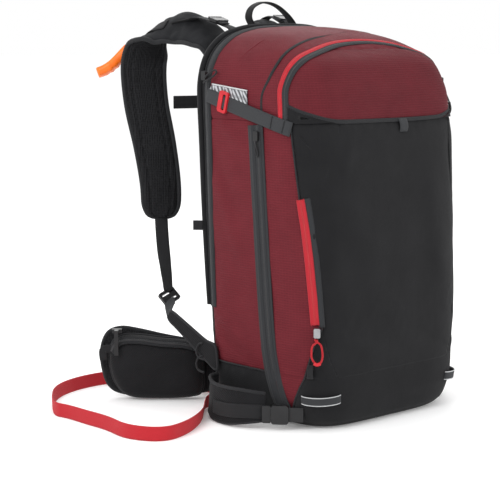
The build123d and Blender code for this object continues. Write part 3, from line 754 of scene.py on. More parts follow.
LEG_HEIGHT = 0.0102
leg_line = nurbs_line(LEG_ROUTE, LEG_HEIGHT)
leg_points = even(leg_line, 0.003)
leg_normals = []
for leg_i, leg_t in enumerate(tangents(leg_points)):
    level = leg_t.cross(Vector((0, 0, 1))).normalized()
    lean = 0.16 * math.sin(leg_i * 0.035 + 0.6)
    leg_normals.append((level + Vector((0, 0, lean))).normalized())
leg_strap = ribbon("leg_strap_webbing", leg_points, leg_normals, WEB_WIDTH, 0.0019, RED_WEB, "bag",
                   "red_webbing",
                   "leg_strap")
tuple(leg_points[0])


# ---------------------------------------------------------------- seams and piping
def piping(name, points, radius, material, body="bag", lift=0.0):
    line, _ = surface_line(points, lift)
    return tube(name, line, radius, material, body, 7)


def taped_seam(name, points, width, thickness, material, slot):
    """A tape laid along a line on the bag, with a row of stitches near each edge."""
    line, normals = surface_line(points, 0.0004)
    ribbon(name, line, normals, width, thickness, material, "bag", slot)
    rows = [stitch_data(line, normals, side * (width / 2 - 0.0014),
                        lift=thickness / 2 + 0.0001) for side in (-1, 1)]
    stitches(name + "_stitches", rows, BLACK_CORD, "bag")


def coil_data(line, normals, width=0.0042, height=0.0016, pitch=0.0016):
    """A zip's closed coil: a low rounded rib with a tooth every pitch."""
    fine = even(line, pitch / 4)
    fitted = []
    j = 0
    for p in fine:
        while j < len(line) - 1 and (line[j + 1] - p).length < (line[j] - p).length:
            j += 1
        fitted.append(normals[j])

    def teeth(part, v, along):
        ridge = 0.5 + 0.5 * math.cos(math.tau * along / pitch)
        round_top = max(0.0, 1 - v * v) ** 0.5
        groove = 1 - 0.35 * math.exp(-(v / 0.18) ** 2)
        return height * (0.35 + 0.65 * ridge) * round_top * groove

    return ribbon_data(fine, fitted, width, 0.0008, columns=6, shape=teeth)


def zip_line_piece(name, points, tape_width, tape, coil, slot, node=None, covered=False):
    """Two tapes side by side under a raised coil, with a row of stitches on each tape."""
    line, normals = surface_line(points, 0.0006)

    def tape_shape(part, v, along):
        return 0.0007 * math.exp(-((abs(v) - 0.32) / 0.1) ** 2)

    ribbon(name, line, normals, tape_width, 0.0014, tape, "bag", slot, node, columns=14, shape=tape_shape)
    raised = [p + n * 0.0006 for p, n in zip(line, normals)]
    coil_width, coil_height = (0.0026, 0.0008) if covered else (0.0042, 0.0014)
    new_piece(name + "_coil", coil_data(raised, normals, coil_width, coil_height), coil, "bag")
    rows = [stitch_data(line, normals, side * (tape_width / 2 - 0.0013), lift=0.0008) for side in (-1, 1)]
    stitches(name + "_stitches", rows, tape, "bag")


# back zip: a dark band round the back panel
zip_line_piece("back_zip_band", arch(lambda z: zip_plane(z) - 0.006, 0.152), 0.013, TAPE, DARK_COIL,
               "charcoal_webbing", node="back_zip")
piping("back_edge_piping", arch(lambda z: zip_plane(z) + 0.0025, 0.152), 0.0019, PACK_CLOTH,
       "back")
piping("bag_edge_piping", arch(lambda z: zip_plane(z) - 0.0135, 0.152), 0.0014, BINDING)

piping("back_edge_roll", arch(lambda z: zip_plane(z) + 0.0115, 0.152), 0.005, PACK_CLOTH,
       "back",
       lift=0.0015)

# side zips with a wide storm flap each side of the coil
side_zip_parts = []
for side, sign in SIDES:
    route = [(-0.023, 0.415), (-0.031, 0.313), (-0.042, 0.176), (-0.048, 0.11), (-0.054, 0.078)]
    points = [side_x(sign, y, z) for y, z in route]
    line, normals = surface_line(points, 0.0018)
    flap_route = [(-0.019, 0.415), (-0.027, 0.313), (-0.038, 0.176), (-0.044, 0.11), (-0.0515, 0.07),
                  (-0.059, 0.042), (-0.066, 0.021)]
    flap_line, flap_normals = surface_line([side_x(sign, y, z) for y, z in flap_route], 0.0016)

    def flap_shape(part, v, along):
        coil_gap = v + 0.27 * sign * -1
        return 0.0017 * math.exp(-((abs(v) - 0.45) / 0.16) ** 2) - 0.0008 * math.exp(-(coil_gap / 0.09) ** 2)

    side_zip_parts.append((line, normals,
                           ribbon_data(flap_line, flap_normals, 0.0295, 0.0016, columns=24,
                                       shape=flap_shape)))
bands = joined([part for _, _, part in side_zip_parts])
new_piece("side_zip_bands", bands, TAPE, "bag", "side_zips")
coils = joined([
    coil_data([p + n * 0.0003 for p, n in zip(line, normals)], normals, 0.0036, 0.0012)
    for line, normals, _ in side_zip_parts
])
new_piece("side_zip_coils", coils, DARK_COIL, "bag")
stitches("side_zip_stitches",
         [stitch_data(line, normals, offset, lift=0.0011) for line, normals, _ in side_zip_parts
          for offset in (-0.0112, -0.0062, 0.0062, 0.0112)], BLACK_CORD, "bag")
# a piped edge along the lower stretch of each flap's rear side
for side, sign in SIDES:
    piping("side_flap_tail_" + side, [(sign * 0.157, -0.0285, 0.111), (sign * 0.155, -0.038, 0.063),
                                      (sign * 0.144, -0.051, 0.021)], 0.002, BINDING)

# the red front zip
FRONT_ZIP = [(-0.152, -0.098, 0.318), (-0.15, -0.1045, 0.28), (-0.148, -0.11, 0.238),
             (-0.1455, -0.1145, 0.19), (-0.143, -0.1175, 0.149)]
zip_line_piece("front_zip_tape", FRONT_ZIP, 0.0125, RED_TAPE, RED_COIL, "red_zip",
               node="front_zip")
taped_seam("front_zip_guard", [(-0.1485, -0.1065, 0.32), (-0.1455, -0.113, 0.28), (-0.143, -0.1185, 0.238),
                               (-0.14, -0.1225, 0.19), (-0.1375, -0.125, 0.146)],
           0.0085, 0.0022, TAPE, "charcoal_webbing")

# front seam bindings
for side, sign in SIDES:
    front_points = [side_x(sign, low_front_seam(z), z) for z in (0.016, 0.03, 0.045, 0.06, 0.075, 0.095,
                                                                 0.12)]
    front_points += [side_x(sign, front_seam(z) - 0.001, z) for z in spread(0.146, 0.418, 0.02)]
    piping("front_seam_piping_" + side, front_points, 0.0013, BINDING)
piping("base_seam_piping", ring_at(0.075, -0.28, math.pi + 0.28), 0.0012, BINDING)

# dart seams in the front panel
for number, dart in enumerate((
    [(-0.103, -0.122, 0.417), (-0.107, -0.125, 0.395), (-0.112, -0.127, 0.378), (-0.122, -0.125, 0.362),
     (-0.134, -0.118, 0.325), (-0.146, -0.108, 0.3)],
    [(-0.15, -0.096, 0.402), (-0.141, -0.108, 0.388), (-0.125, -0.118, 0.38), (-0.112, -0.122, 0.382)],
    [(0.128, -0.118, 0.418), (0.124, -0.124, 0.38), (0.127, -0.127, 0.3), (0.13, -0.129, 0.2),
     (0.128, -0.129, 0.08)],
    [(-0.14, -0.116, 0.096), (-0.126, -0.128, 0.082), (-0.104, -0.134, 0.064), (-0.08, -0.136, 0.05)],
    [(0.14, -0.116, 0.096), (0.126, -0.128, 0.082), (0.104, -0.134, 0.064), (0.08, -0.136, 0.05)],
)):
    piping(f"front_dart_{number}", dart, 0.0009, BLACK_CLOTH)
    line, normals = surface_line(dart)
    stitches(f"front_dart_stitches_{number}", [stitch_data(line, normals, 0.0024, lift=0.0006)],
             BLACK_CORD, "bag")

# the lid's lower seam, with its charcoal binding
LID_EDGE = [(-0.159, -0.07, 0.4445), (-0.155, -0.081, 0.44), (-0.15, -0.093, 0.435),
            (-0.128, -0.112, 0.4255),
            (-0.102, -0.12, 0.421), (-0.05, -0.124, 0.4205), (0.015, -0.124, 0.42), (0.075, -0.123, 0.4205),
            (0.108, -0.119, 0.4225), (0.135, -0.107, 0.43), (0.152, -0.088, 0.438), (0.159, -0.07, 0.4445)]
taped_seam("lid_edge_binding", LID_EDGE, 0.0055, 0.0018, BINDING, "charcoal_webbing")

# corner gussets in front cloth between the lid's edge and the lid seam
for side, sign in SIDES:
    outline = [(sign * 0.159, -0.075, 0.4215), (sign * 0.1575, -0.0755, 0.4415),
               (sign * 0.15, -0.093, 0.434),
               (sign * 0.128, -0.112, 0.424), (sign * 0.11, -0.119, 0.4195), (sign * 0.135, -0.105, 0.4185),
               (sign * 0.152, -0.088, 0.419)]
    corner = []
    for a, b in zip(outline, outline[1:] + outline[:1]):
        corner += [Vector(a).lerp(Vector(b), k / 6) for k in range(6)]
    centre = sum((Vector(p) for p in outline), Vector()) / len(outline)
    verts, faces, uvs = [on_form(centre, 0.0014)[0]], [], [(0.0, centre.z)]
    for r in range(1, 7):
        for p in corner:
            place, _ = on_form(centre.lerp(p, r / 6), 0.0014)
            verts.append(place)
            uvs.append((place.x - place.y, place.z))
    count = len(corner)
    for k in range(count):
        faces.append((0, 1 + k, 1 + (k + 1) % count))
    for r in range(5):
        for k in range(count):
            j = (k + 1) % count
            low, high = 1 + r * count, 1 + (r + 1) * count
            faces.append((low + k, low + j, high + j, high + k))
    patch = new_piece("lid_corner_gusset_" + side, (verts, faces, uvs), BLACK_CLOTH, "bag")
    thick = patch.modifiers.new("thickness", "SOLIDIFY")
    thick.thickness = 0.0008

# the lid's zip arch: red tape with a charcoal band in front of it
LID_ARCH = [(-0.16, -0.066, 0.4225), (-0.159, -0.065, 0.44), (-0.157, -0.063, 0.464),
            (-0.149, -0.066, 0.485),
            (-0.132, -0.069, 0.503), (-0.113, -0.068, 0.511), (-0.093, -0.064, 0.516),
            (-0.034, -0.047, 0.526),
            (0.024, -0.04, 0.528), (0.07, -0.047, 0.5235), (0.104, -0.062, 0.513), (0.132, -0.069, 0.503),
            (0.149, -0.066, 0.485), (0.157, -0.063, 0.464), (0.159, -0.065, 0.44), (0.16, -0.066, 0.4225)]
LID_BAND = [(p[0], p[1] - 0.0085, p[2] - (0.0022 if abs(p[0]) < 0.14 else 0.0)) for p in LID_ARCH]
zip_line_piece("lid_zip_red", LID_ARCH, 0.0085, RED_TAPE, RED_COIL, "red_zip", covered=True)
zip_line_piece("lid_zip_band", LID_BAND, 0.0105, TAPE, DARK_COIL, "charcoal_webbing",
               node="lid_zip", covered=True)

# the airbag's burst seam: a dark welt under the tape
BURST = [(-0.16, -0.03, 0.424), (-0.16, -0.03, 0.436), (-0.159, -0.031, 0.456), (-0.156, -0.04, 0.477),
         (-0.141, -0.048, 0.503), (-0.104, -0.043, 0.522), (-0.06, -0.03, 0.53), (-0.031, -0.023, 0.534),
         (0.015, -0.008, 0.538), (0.053, 0.004, 0.538), (0.1, 0.01, 0.529), (0.135, 0.004, 0.51),
         (0.152, -0.006, 0.484), (0.159, -0.012, 0.45), (0.16, -0.014, 0.424)]
taped_seam("burst_welt", BURST, 0.0048, 0.0016, BINDING, "charcoal_webbing")
REAR_SEAM = [(-0.16, 0.04, 0.47), (-0.157, 0.036, 0.485), (-0.146, 0.026, 0.507), (-0.12, 0.012, 0.526),
             (-0.085, 0.004, 0.5365)]
piping("rear_top_seam", REAR_SEAM, 0.0009, RIPSTOP)

# compression straps with their doubled end, reflective patches and white edges
for side, sign in SIDES:
    route = [(0.078, 0.453), (0.043, 0.444), (0.003, 0.434), (-0.046, 0.4215), (-0.084, 0.411)]
    points = [side_x(sign, y, z) for y, z in route]
    line, normals = surface_line(points, 0.0026)
    line = [p + n * (0.0012 * math.sin(math.pi * i / (len(line) - 1))) for i,
            (p, n) in enumerate(zip(line, normals))]
    ribbon("compression_strap_" + side, line, normals, WEB_WIDTH, 0.0018, GREY_WEB, "bag",
           "charcoal_webbing",
           "compression_straps" if side == "left" else None)
    doubled = [p + n * 0.0019 for p, n in zip(line[:16], normals[:16])]
    ribbon("compression_fold_" + side, doubled, normals[:16], 0.0192, 0.0018, GREY_WEB, "bag",
           "charcoal_webbing")
    rows = []
    for place in (-12, -5):
        p, n = line[place], normals[place]
        across = (line[place + 1] - p).normalized().cross(n).normalized()
        bar = [p + across * (0.0085 * k) for k in (-1, -0.5, 0, 0.5, 1)]
        rows += [stitch_data(bar, [n] * 5, offset, pitch=0.0014, length=0.0012, lift=0.0012)
                 for offset in (-0.0005, 0.0005)]
    stitches("compression_bartacks_" + side, rows, BLACK_CORD, "bag")

    patch_low = [(0.08, 0.4505), (0.04, 0.4455), (-0.002, 0.4375), (-0.005, 0.437)]
    patch_high = [(0.07, 0.468), (0.04, 0.465), (0.002, 0.4612), (-0.003, 0.4606)]
    rows_count = 10
    verts, faces, uvs = [], [], []
    low_line = even([side_x(sign, y, z) for y, z in patch_low], 0.004)
    high_points = [side_x(sign, y, z) for y, z in patch_high]
    high_line = even(high_points, 0.004)
    high_line = [high_line[min(round(i * (len(high_line) - 1) / (len(low_line) - 1)), len(high_line) - 1)]
                 for i in range(len(low_line))]
    for i, (a, b) in enumerate(zip(low_line, high_line)):
        for k in range(rows_count + 1):
            place, _ = on_form(a.lerp(b, k / rows_count), 0.0026)
            verts.append(place)
            uvs.append((i * 0.004, k * 0.0018))
    for i in range(len(low_line) - 1):
        for k in range(rows_count):
            a = i * (rows_count + 1) + k
            faces.append((a, a + 1, a + rows_count + 2, a + rows_count + 1))
    patch = new_piece("reflective_patch_" + side, (verts, faces, uvs), REFLECTIVE, "bag",
                      "strap_patches" if side == "left" else None)
    thick = patch.modifiers.new("thickness", "SOLIDIFY")
    thick.thickness = 0.0007
    piping("patch_piping_" + side, high_points, 0.0011, WHITE_PIPE, lift=0.0028)

# webbing tab at the lid seam, tool loops low on the front
def flat_loop(name, points, width, thickness, rise, node=None):
    """Webbing sewn down at both ends and standing clear of the bag between them."""
    line, normals = surface_line(points, 0.0014)
    last = len(line) - 1
    line = [p + n * (rise * math.sin(math.pi * i / last) ** 0.6) for i,
            (p, n) in enumerate(zip(line, normals))]
    ribbon(name, line, normals, width, thickness, GREY_WEB, "bag", "charcoal_webbing", node)
    return line, normals


flat_loop("lid_tab", [(0.017, -0.1235, 0.421), (0.017, -0.1245, 0.412), (0.017, -0.1255, 0.4035)],
          0.0165, 0.0022, 0.0026, "tool_loops")
for side, sign in SIDES:
    points = [(sign * 0.148, -0.098, 0.0445), (sign * 0.14, -0.112, 0.0445), (sign * 0.124, -0.123, 0.045),
              (sign * 0.108, -0.129, 0.0455)]
    line, normals = flat_loop("tool_loop_" + side, points, 0.0115, 0.0018, 0.006)
    edges = []
    for offset in (-0.0056, 0.0056):
        edges.append(tube_data([p + t.cross(n).normalized() * offset + n * 0.0006
                                for p, n, t in zip(line, normals, tangents(line))], 0.0007, 6))
    new_piece("tool_loop_piping_" + side, joined(edges), WHITE_PIPE, "bag")

# a small cloth loop beside the front pull
foot_loop = spline([(-0.1465, -0.112, 0.093), (-0.15, -0.115, 0.09), (-0.1515, -0.116, 0.084),
                    (-0.15, -0.115, 0.078), (-0.1465, -0.112, 0.075)], 0.001)
ribbon("foot_loop_left", foot_loop, [t.cross(Vector((0.55, -0.83,
                                                     0))).normalized() for t in tangents(foot_loop)],
       0.0085, 0.0018, BLACK_WEB, "bag", "black_webbing")


# ---------------------------------------------------------------- shoulder straps
def strap_path(stations, step=0.003):
    """Even points and face directions of a strap through (centre, across) stations."""
    centres = spline([s[0] for s in stations], step)
    key = [Vector(s[0]) for s in stations]
    marks = [0.0]
    for a, b in zip(key, key[1:]):
        marks.append(marks[-1] + (b - a).length)
    normals = []
    total = marks[-1]
    for i, (p, t) in enumerate(zip(centres, tangents(centres))):
        here = total * i / (len(centres) - 1)
        j = max(k for k in range(len(marks)) if marks[k] <= here + 1e-9)
        j = min(j, len(marks) - 2)
        part = (here - marks[j]) / (marks[j + 1] - marks[j])
        part = part * part * (3 - 2 * part)
        across = Vector(stations[j][1]).normalized().lerp(Vector(stations[j + 1][1]).normalized(), part)
        normals.append(across.cross(t).normalized())
    for _ in range(5):
        normals = [(normals[max(i - 1, 0)] + n * 2 + normals[min(i + 1, len(normals) - 1)]).normalized()
                   for i, n in enumerate(normals)]
    return centres, normals


LEFT_STRAP = [
    ((-0.058, 0.148, 0.486), (-1, 0, 0)), ((-0.066, 0.17, 0.524), (-0.95, 0, -0.3)),
    ((-0.074, 0.195, 0.539), (-0.8, 0, -0.6)), ((-0.08, 0.233, 0.547), (-0.6, 0.1, -0.79)),
    ((-0.086, 0.268, 0.541), (-0.73, -0.4, -0.55)), ((-0.09, 0.285, 0.529), (-0.92, -0.1, -0.1)),
    ((-0.095, 0.296, 0.508), (-0.87, 0.38, 0.25)), ((-0.098, 0.298, 0.48), (-0.76, 0.64, 0.05)),
    ((-0.1, 0.289, 0.43), (-0.73, 0.68, 0)), ((-0.097, 0.274, 0.37), (-0.73, 0.68, 0)),
    ((-0.092, 0.267, 0.31), (-0.73, 0.68, 0)), ((-0.092, 0.266, 0.26), (-0.73, 0.68, 0)),
]
RIGHT_STRAP = [
    ((0.058, 0.148, 0.486), (-1, 0, 0)), ((0.064, 0.166, 0.524), (-0.95, 0, 0.3)),
    ((0.07, 0.186, 0.544), (-0.95, 0.05, 0.2)), ((0.077, 0.212, 0.55), (-0.96, 0.2, 0.1)),
    ((0.084, 0.236, 0.536), (-0.97, 0.05, -0.2)), ((0.09, 0.249, 0.5), (-0.9, -0.38, -0.17)),
    ((0.093, 0.252, 0.455), (-0.73, -0.68, 0)), ((0.093, 0.25, 0.4), (-0.73, -0.68, 0)),
    ((0.092, 0.249, 0.33), (-0.73, -0.68, 0)), ((0.092, 0.252, 0.26), (-0.73, -0.68, 0)),
]


def strap_width(part):
    """Wide over the shoulder, narrower towards a rounded foot."""
    width = 0.064 - 0.01 * max(0.0, (part - 0.45) / 0.55)
    width -= 0.012 * min(1.0, max(0.0, (0.42 - part) / 0.12))
    foot = (1 - part) / 0.06
    return width * (1 if foot >= 1 else 0.45 + 0.55 * math.sqrt(max(0.0, 1 - (1 - foot) ** 2)))


def shoulder_strap(side, stations):
    """A padded strap: outer cloth, mesh lining, edge binding and two rows of quilting."""
    line, normals = strap_path(stations)
    name = "shoulder_strap_" + side
    last = len(line) - 1

    def outer_face(part, v, along):
        wrinkle = noise.noise(Vector((along * 95, v * 1.6,
                                      4.0))) * 0.0016 * math.exp(-((part - 0.25) / 0.28) ** 2)
        wrinkle += noise.noise(Vector((along * 30, v * 2.2, 9.0))) * 0.0016
        return 0.0028 * (1 - v * v) + wrinkle

    def inner_face(part, v, along):
        puff = 0.003 * (1 - abs(v) ** 2.4) - 0.0018 * math.exp(-((abs(v) - 0.62) / 0.05) ** 2)
        return puff + noise.noise(Vector((along * 22, v * 1.5, 2.0))) * 0.0014

    core = ribbon_data([p - n * 0.0015 for p, n in zip(line, normals)], [-n for n in normals],
                       strap_width, 0.0085, columns=22, shape=outer_face)
    strap = new_piece(name, core, STRAP_CLOTH, "back", name)
    inner = ribbon_data([p + n * 0.0022 for p, n in zip(line, normals)], normals,
                        lambda s: strap_width(s) * 0.93, 0.006, columns=26, shape=inner_face)
    lining = new_piece(name + "_mesh_face", inner, MESH, "back")
    edges, rows = [], []
    for direction in (-1, 1):
        edge = []
        for i, (p, n, t) in enumerate(zip(line, normals, tangents(line))):
            half = strap_width(i / last) / 2
            edge.append(p + t.cross(n).normalized() * (direction * half) + n * 0.0006)
        edges.append((edge, normals))
        rows.append(stitch_data([p + n * 0.0048 for p, n in zip(line, normals)], normals,
                                direction * 0.0165, pitch=0.004, length=0.0026))
    outline = edges[0][0] + edges[1][0][::-1]
    outline = even(outline, 0.003)
    tube(name + "_binding", outline, 0.0036, BINDING, "back", 10)
    stitches(name + "_quilting", rows, BLACK_CORD, "back")
    return line, normals


left_line, left_normals = shoulder_strap("left", LEFT_STRAP)
right_line, right_normals = shoulder_strap("right", RIGHT_STRAP)

# webbing down the outer face of both straps
for side, line, normals in (("left", left_line, left_normals), ("right", right_line, right_normals)):
    first, last = round(len(line) * 0.3), round(len(line) * 0.93)
    daisy = [p - n * 0.0105 for p, n in zip(line[first:last], normals[first:last])]
    ribbon(f"strap_daisy_{side}", daisy, [-n for n in normals[first:last]], 0.0195, 0.0018, BLACK_WEB,
           "back",
           "black_webbing", columns=8)

# webbing from each strap's foot to its ladder lock
for side, stations in (
    ("left", [((-0.0925, 0.2655, 0.268), (-0.73, 0.68, 0)), ((-0.098, 0.257, 0.24), (-0.76, 0.6, 0)),
              ((-0.106, 0.244, 0.212), (-0.8, 0.5, 0.05)), ((-0.1185, 0.2235, 0.184), (-0.9, 0.2, 0.2)),
              ((-0.127, 0.2095, 0.163), (-0.9, 0, 0.3)), ((-0.1315, 0.202, 0.1545), (-0.9, 0, 0.3))]),
    ("right", [((0.0925, 0.2515, 0.268), (0.73, 0.68, 0)), ((0.098, 0.245, 0.24), (0.76, 0.6, 0)),
               ((0.106, 0.236, 0.212), (0.8, 0.5, 0.05)), ((0.1185, 0.219, 0.184), (0.9, 0.2, 0.2)),
               ((0.127, 0.2095, 0.163), (0.9, 0, 0.3)), ((0.1315, 0.202, 0.1545), (0.9, 0, 0.3))]),
):
    line, normals = strap_path(stations)
    ribbon("strap_web_" + side, line, normals, WEB_WIDTH, 0.0019, BLACK_WEB, "back", "black_webbing",
           "strap_webbing" if side == "left" else None)

# lower webbing from each anchor wing to its ladder lock, across the back panel's joint
for side, sign in SIDES:
    stations = [((sign * 0.1345, 0.197, 0.1465), (sign * -0.86, 0, 0.4)),
                ((sign * 0.142, 0.187, 0.14), (sign * -0.8, 0, 0.5)),
                ((sign * 0.15, 0.178, 0.134), (sign * -0.6, 0, 0.75)),
                ((sign * 0.1575, 0.168, 0.127), (sign * -0.25, 0, 0.95)),
                ((sign * 0.1595, 0.15, 0.117), (sign * -0.05, 0, 1))]
    line, normals = strap_path(stations, 0.002)
    web = ribbon("lower_web_" + side, line, normals, 0.0165, 0.0018, GREY_WEB, None, "charcoal_webbing",
                 "lower_webbing" if side == "left" else None)
    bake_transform(web)

# load lifters down onto each strap, with a loose tail above their buckles
for side, start, top, landing in (
    ("left", (-0.062, 0.139, 0.547), (-0.074, 0.194, 0.562),
     ((-0.077, 0.212, 0.559), (-0.08, 0.23, 0.5565), (-0.082, 0.243, 0.5535))),
    ("right", (0.06, 0.139, 0.547), (0.07, 0.186, 0.564),
     ((0.073, 0.199, 0.5635), (0.076, 0.211, 0.5605), (0.079, 0.223, 0.554))),
):
    a, b = Vector(start), Vector(top)
    stations = [(a + Vector((0, -0.006, -0.004)), (-1, 0, 0)), (a, (-1, 0, 0)),
                (a.lerp(b, 0.5) + Vector((0, 0, 0.001)), (-1, 0, 0)), (b, (-1, 0, 0)),
                *[(place, (-1, 0, 0)) for place in landing]]
    line, normals = strap_path(stations, 0.002)
    ribbon("load_lifter_" + side, line, normals, 0.0196, 0.0018, BLACK_WEB, "back", "black_webbing",
           "load_lifters" if side == "left" else None)
    middle = a.lerp(b, 0.46)
    tail = [(middle + Vector((0, 0.003, 0.0056)), (-1, 0, 0)),
            (middle + Vector((0, -0.008, 0.003)), (-1, 0, 0)),
            (middle + Vector((0, -0.019, -0.0014)), (-1, 0, 0))]
    line, normals = strap_path(tail, 0.002)
    ribbon("lifter_tail_" + side, line, normals, 0.018, 0.0017, BLACK_WEB, "back", "black_webbing")

# haul loop: one soft arch of thin webbing, narrower over its top
haul = spline([(-0.024, 0.127, 0.543), (-0.033, 0.127, 0.553), (-0.038, 0.127, 0.563),
               (-0.033, 0.127, 0.575),
               (-0.018, 0.127, 0.5825), (0.0, 0.127, 0.5835), (0.018, 0.127, 0.579), (0.034, 0.127, 0.57),
               (0.048, 0.127, 0.558), (0.058, 0.127, 0.544)], 0.002)
haul_normals = [t.cross(Vector((0, 1, 0))).normalized() for t in tangents(haul)]
ribbon("haul_webbing", haul, haul_normals, lambda s: 0.0175 - 0.005 * math.sin(math.pi * s), 0.0028,
       BLACK_WEB,
       "back", "black_webbing", "haul_loop")

# sternum strap: two lengths of webbing in their buckle
across_chest = Vector((0.972, -0.236, 0))
outward = Vector((-0.236, -0.972, 0))
chest = Vector((0, 0.252, 0.434))
for side, low, high, lift in (("left", -0.066, -0.012, 0.0), ("right", 0.014, 0.068, -0.0055)):
    points = []
    for k in range(25):
        bow = lift + 0.0012 * math.sin(k / 24 * math.pi)
        points.append(chest + across_chest * (low + (high - low) * k / 24) + outward * bow)
    ribbon("sternum_web_" + side, points, [outward] * 25, 0.0196, 0.0017, BLACK_WEB, "back",
           "black_webbing",
           "sternum_webbing" if side == "left" else None)


# ---------------------------------------------------------------- hip wings, pads and pouches
def closed_outline(outline, count=120):
    """Even points round a smooth closed outline in 2-D."""
    points = [Vector((a, b, 0)) for a, b in outline]
    dense = []
    size = len(points)
    for i in range(size):
        p, a, b, q = points[i - 1], points[i], points[(i + 1) % size], points[(i + 2) % size]
        for k in range(20):
            dense.append(between(p, a, b, q, k / 20))
    dense.append(dense[0].copy())
    length = sum((b - a).length for a, b in zip(dense, dense[1:]))
    return even(dense, length / count)[:count]


def pad_data(outline, place, front, rear, power=2.6, rings=13, count=120, detail=None):
    """A crowned pad: place(u, v, w) maps the outline's plane and the thickness way to space."""
    edge = closed_outline(outline, count)
    centre = sum(edge, Vector()) / len(edge)
    verts, faces, uvs = [], [], []

    def add_side(thick, reverse):
        start = len(verts)
        verts.append(place(centre.x, centre.y, thick))
        uvs.append((centre.x, centre.y))
        for r in range(1, rings + 1):
            part = 1 - (1 - r / rings) ** 1.7
            crown = max(0.0, 1 - part ** power) ** (1 / power)
            for p in edge:
                q = centre.lerp(p, part)
                height = thick * crown
                if detail and r < rings:
                    height += detail(q.x, q.y, part) * (1 if thick >= 0 else -1)
                verts.append(place(q.x, q.y, height))
                uvs.append((q.x, q.y))
        for k in range(count):
            j = (k + 1) % count
            face = (start, start + 1 + k, start + 1 + j)
            faces.append(face[::-1] if reverse else face)
            for r in range(rings - 1):
                low, high = start + 1 + r * count, start + 1 + (r + 1) * count
                face = (low + k, high + k, high + j, low + j)
                faces.append(face[::-1] if reverse else face)
        return start + 1 + (rings - 1) * count

    a = add_side(front, False)
    b = add_side(-rear, True)
    for k in range(count):
        j = (k + 1) % count
        faces.append((a + k, b + k, b + j, a + j))
    return verts, faces, uvs, edge


def welded(piece):
    """Closes the seam where the two faces of a crowned form meet."""
    piece.modifiers.new("weld", "WELD").merge_threshold = 0.00005


def pad(name, outline, place, front, rear, material, body, slot, node=None, **more):
    """A padded piece with a crowned face on each side; its outline comes back for the edge trim."""
    verts, faces, uvs, edge = pad_data(outline, place, front, rear, **more)
    piece = new_piece(name, (verts, faces, uvs), material, body, node)
    welded(piece)
    return edge


def rim_tube(name, edge, place, depth, radius, body):
    """Binding round the edge of a pad."""
    line = [place(p.x, p.y, depth) for p in [*edge, edge[0]]]
    tube(name, line, radius, BINDING, body)


PAD_OUTLINE = [(-0.014, 0.03), (-0.014, 0.084), (0.02, 0.096), (0.06, 0.104), (0.1, 0.113), (0.125, 0.116),
               (0.144, 0.108), (0.153, 0.085), (0.152, 0.058), (0.143, 0.03), (0.122, 0.018), (0.08, 0.016),
               (0.02, 0.018)]
POCKET_OUTLINE = [(0.004, 0.024), (0.002, 0.06), (0.004, 0.096), (0.03, 0.101), (0.062, 0.103),
                  (0.095, 0.107),
                  (0.118, 0.107), (0.134, 0.099), (0.14, 0.082), (0.14, 0.06), (0.132, 0.034),
                  (0.112, 0.016),
                  (0.07, 0.013), (0.02, 0.015)]


def wing_place(sign, lift):
    """Places on a hip wing: u runs out along it, v up and w away from the wearer."""
    def place(u, v, w):
        out = w + lift
        return Vector((sign * (0.108 + 0.731 * u + 0.682 * out), 0.1474 + 0.682 * u - 0.731 * out,
                       v - 0.0105))
    return place


def pocket_folds(u, v, part):
    """Soft folds, an upper seam under the zip and a lower seam."""
    wave = noise.noise(Vector((u * 26, v * 40, 3.0))) * 0.0016 + noise.noise(Vector((u * 70, v * 60,
                                                                                     8.0))) * 0.0006
    seam = -0.0016 * math.exp(-((v - 0.0905 - 0.012 * math.sin(u * 14)) / 0.0018) ** 2)
    lower = -0.0012 * math.exp(-((v - 0.026 - 0.1 * max(0, u - 0.1)) / 0.0022) ** 2)
    return wave + (seam + lower) * (1 if part < 0.93 else 0)


